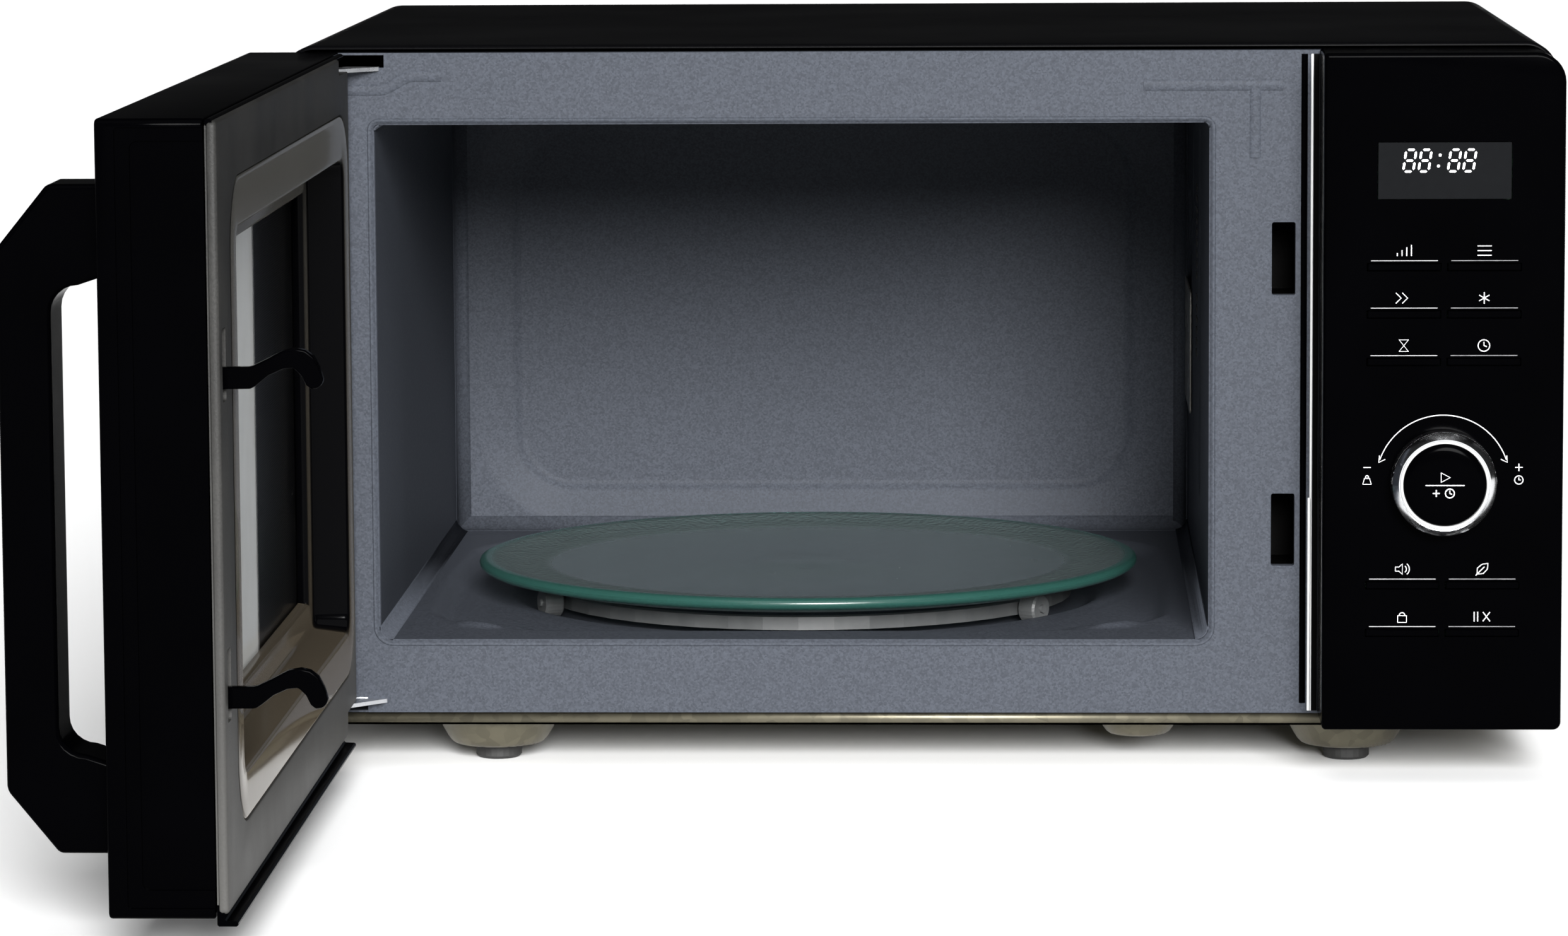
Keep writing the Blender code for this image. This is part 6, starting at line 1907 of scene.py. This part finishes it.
class OVEN_OT_trim(Maker, bpy.types.Operator):
    """Build the strips beside the control panel, and the rear panel's screws"""

    bl_idname = "oven.trim"
    bl_label = "Trim"

    def make(self):
        self.side_strip()
        self.rear()

    def side_strip(self):
        """A round-ended black strip that paints the shade of a slot, and a pale strip that paints the
        highlight on a bent edge, between the plate and the panel.
        """
        right = PANEL_LOW.x
        bottom, top = SILL + 4 * MM, PLATE_HIGH.z - 1.5 * MM
        front = FACE - TRIM_PROUD
        # Painted shade: a black strip where a slot beside the panel shows dark.
        path = [(right - 5.75 * MM, front + 1.5 * MM, z) for z in (bottom, top)]
        strip = tube("painted_slot_shade", path, 1.5 * MM, False, 6)
        piece("painted_slot_shade", strip, "gloss_black", angle=60)
        foot = bottom - 3 * MM
        # Painted highlight: a pale strip on the plate's bent edge, widened into a foot low down.
        edge = block(
            "painted_edge_highlight", (right - 3.3 * MM, front, foot), (right - 2.3 * MM, FACE + 0.3 * MM, top)
        )
        flare = block(
            "painted_highlight_foot", (right - 4.0 * MM, front, foot), (right - 2.5 * MM, FACE, bottom + 80 * MM)
        )
        piece(
            "painted_edge_highlight", merged("painted_edge_highlight", [edge, flare]), "painted_edge_highlight", bevel=0.3 * MM
        )
        liner = block(
            "dark_edge", (right - 2.2 * MM, front + 0.3 * MM, foot), (right - 0.1 * MM, FACE, top)
        )
        piece("dark_edge", liner, "textured_black", bevel=0.15 * MM)

    def rear(self):
        heads = []
        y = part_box("rear_panel")[0].y + SHEET
        for x in (-0.42, 0.0, 0.42):
            for z in (12 * MM, CASE_HIGH.z - SILL - 12 * MM):
                heads.append(
                    screw_head(
                        (x * (CASE_HIGH.x - CASE_LOW.x) + (CASE_LOW.x + CASE_HIGH.x) / 2, y, SILL + z),
                        "rear",
                    )
                )
        piece("rear_screws", merged("rear_screws", heads), "zinc", angle=40)


class OVEN_OT_stage(Maker, bpy.types.Operator):
    """Set the floor, the soft lights and the camera"""

    bl_idname = "oven.stage"
    bl_label = "Stage"

    def make(self):
        self.floor()
        self.lights()
        self.camera()

    def floor(self):
        mesh = block("floor", (-30, -30, -0.02), (30, 60, -0.0002))
        ground = bpy.data.objects.new("floor", mesh)
        bpy.context.scene.collection.objects.link(ground)
        made = Finish("floor", Roughness=0.9, Specular_IOR_Level=0.1)
        made.tone(made.noise(3.0, 2.0), colours().floor, (0.98, 0.98, 0.98))
        mesh.materials.append(made.material)

    def lights(self):
        world = bpy.data.worlds.new("studio")
        world.use_nodes = True
        bpy.context.scene.world = world
        nodes, links = world.node_tree.nodes, world.node_tree.links
        seen = nodes.new("ShaderNodeLightPath")
        strength = nodes.new("ShaderNodeMapRange")
        strength.inputs["To Min"].default_value = WORLD_LIGHT
        strength.inputs["To Max"].default_value = WORLD_SEEN
        links.new(seen.outputs["Is Camera Ray"], strength.inputs["Value"])
        links.new(strength.outputs["Result"], nodes["Background"].inputs["Strength"])
        nodes["Background"].inputs["Color"].default_value = (0.97, 0.98, 1.0, 1)
        for name, energy, angle, place in SUNS:
            sun = bpy.data.lights.new(name, "SUN")
            sun.energy = energy
            sun.angle = math.radians(angle)
            self.aim(name, sun, place, (0, 0.1, 0.1))
        for name, place in STRIPS:
            strip = bpy.data.lights.new(name, "AREA")
            strip.shape = "RECTANGLE"
            strip.size = 0.08
            strip.size_y = 1.6
            strip.energy = 5
            self.aim(name, strip, place, (0, 0, 0.15))

    def aim(self, name, light, place, target):
        lamp = bpy.data.objects.new(name, light)
        lamp.location = place
        lamp.rotation_mode = "QUATERNION"
        lamp.rotation_quaternion = (Vector(target) - Vector(place)).to_track_quat("-Z", "Y")
        bpy.context.scene.collection.objects.link(lamp)

    def camera(self):
        """The camera stands in front, a little above the top of the oven and left of its middle."""
        fall, flat = math.sin(PITCH), math.cos(PITCH)
        forward = Vector((math.sin(YAW) * flat, math.cos(YAW) * flat, fall))
        level = Vector((math.cos(YAW), -math.sin(YAW), 0))
        rise = Vector((-fall * math.sin(YAW), -fall * math.cos(YAW), flat))
        right = math.cos(ROLL) * level + math.sin(ROLL) * rise
        up = math.cos(ROLL) * rise - math.sin(ROLL) * level
        data = bpy.data.cameras.new("camera")
        data.sensor_width = SENSOR_WIDTH
        data.lens = FOCAL_LENGTH
        data.clip_end = 100.0
        view = bpy.data.objects.new("camera", data)
        place = Vector((CASE_LOW.x, FACE, SILL)) + EYE
        view.matrix_world = Matrix.Translation(place) @ Matrix((right, up, -forward)).transposed().to_4x4()
        bpy.context.scene.collection.objects.link(view)
        bpy.context.scene.camera = view
        bpy.context.scene.view_settings.view_transform = "Standard"


class OVEN_PT_panel(bpy.types.Panel):
    """The oven's pieces, in the order in which they are built"""

    bl_idname = "OVEN_PT_panel"
    bl_label = "Microwave Oven"
    bl_space_type = "VIEW_3D"
    bl_region_type = "UI"
    bl_category = "Oven"

    def draw(self, context):
        for group in (context.scene.oven_sizes, context.scene.oven_colours):
            box = self.layout.box()
            for name in group.__annotations__:
                box.prop(group, name)
        for operator in OPERATORS:
            self.layout.operator(operator.bl_idname)


OPERATORS = (
    OVEN_OT_finishes,
    OVEN_OT_case,
    OVEN_OT_front_plate,
    OVEN_OT_cavity,
    OVEN_OT_turntable,
    OVEN_OT_controls,
    OVEN_OT_door,
    OVEN_OT_base,
    OVEN_OT_trim,
    OVEN_OT_stage,
)
CLASSES = (OvenSizes, OvenColours, *OPERATORS, OVEN_PT_panel)


def register():
    for each in CLASSES:
        bpy.utils.register_class(each)
    bpy.types.Scene.oven_sizes = PointerProperty(type=OvenSizes)
    bpy.types.Scene.oven_colours = PointerProperty(type=OvenColours)


def unregister():
    del bpy.types.Scene.oven_colours
    del bpy.types.Scene.oven_sizes
    for each in reversed(CLASSES):
        bpy.utils.unregister_class(each)


def main():
    register()
    for operator in OPERATORS:
        getattr(bpy.ops.oven, operator.bl_idname.split(".")[1])()


if __name__ == "__main__":
    main()
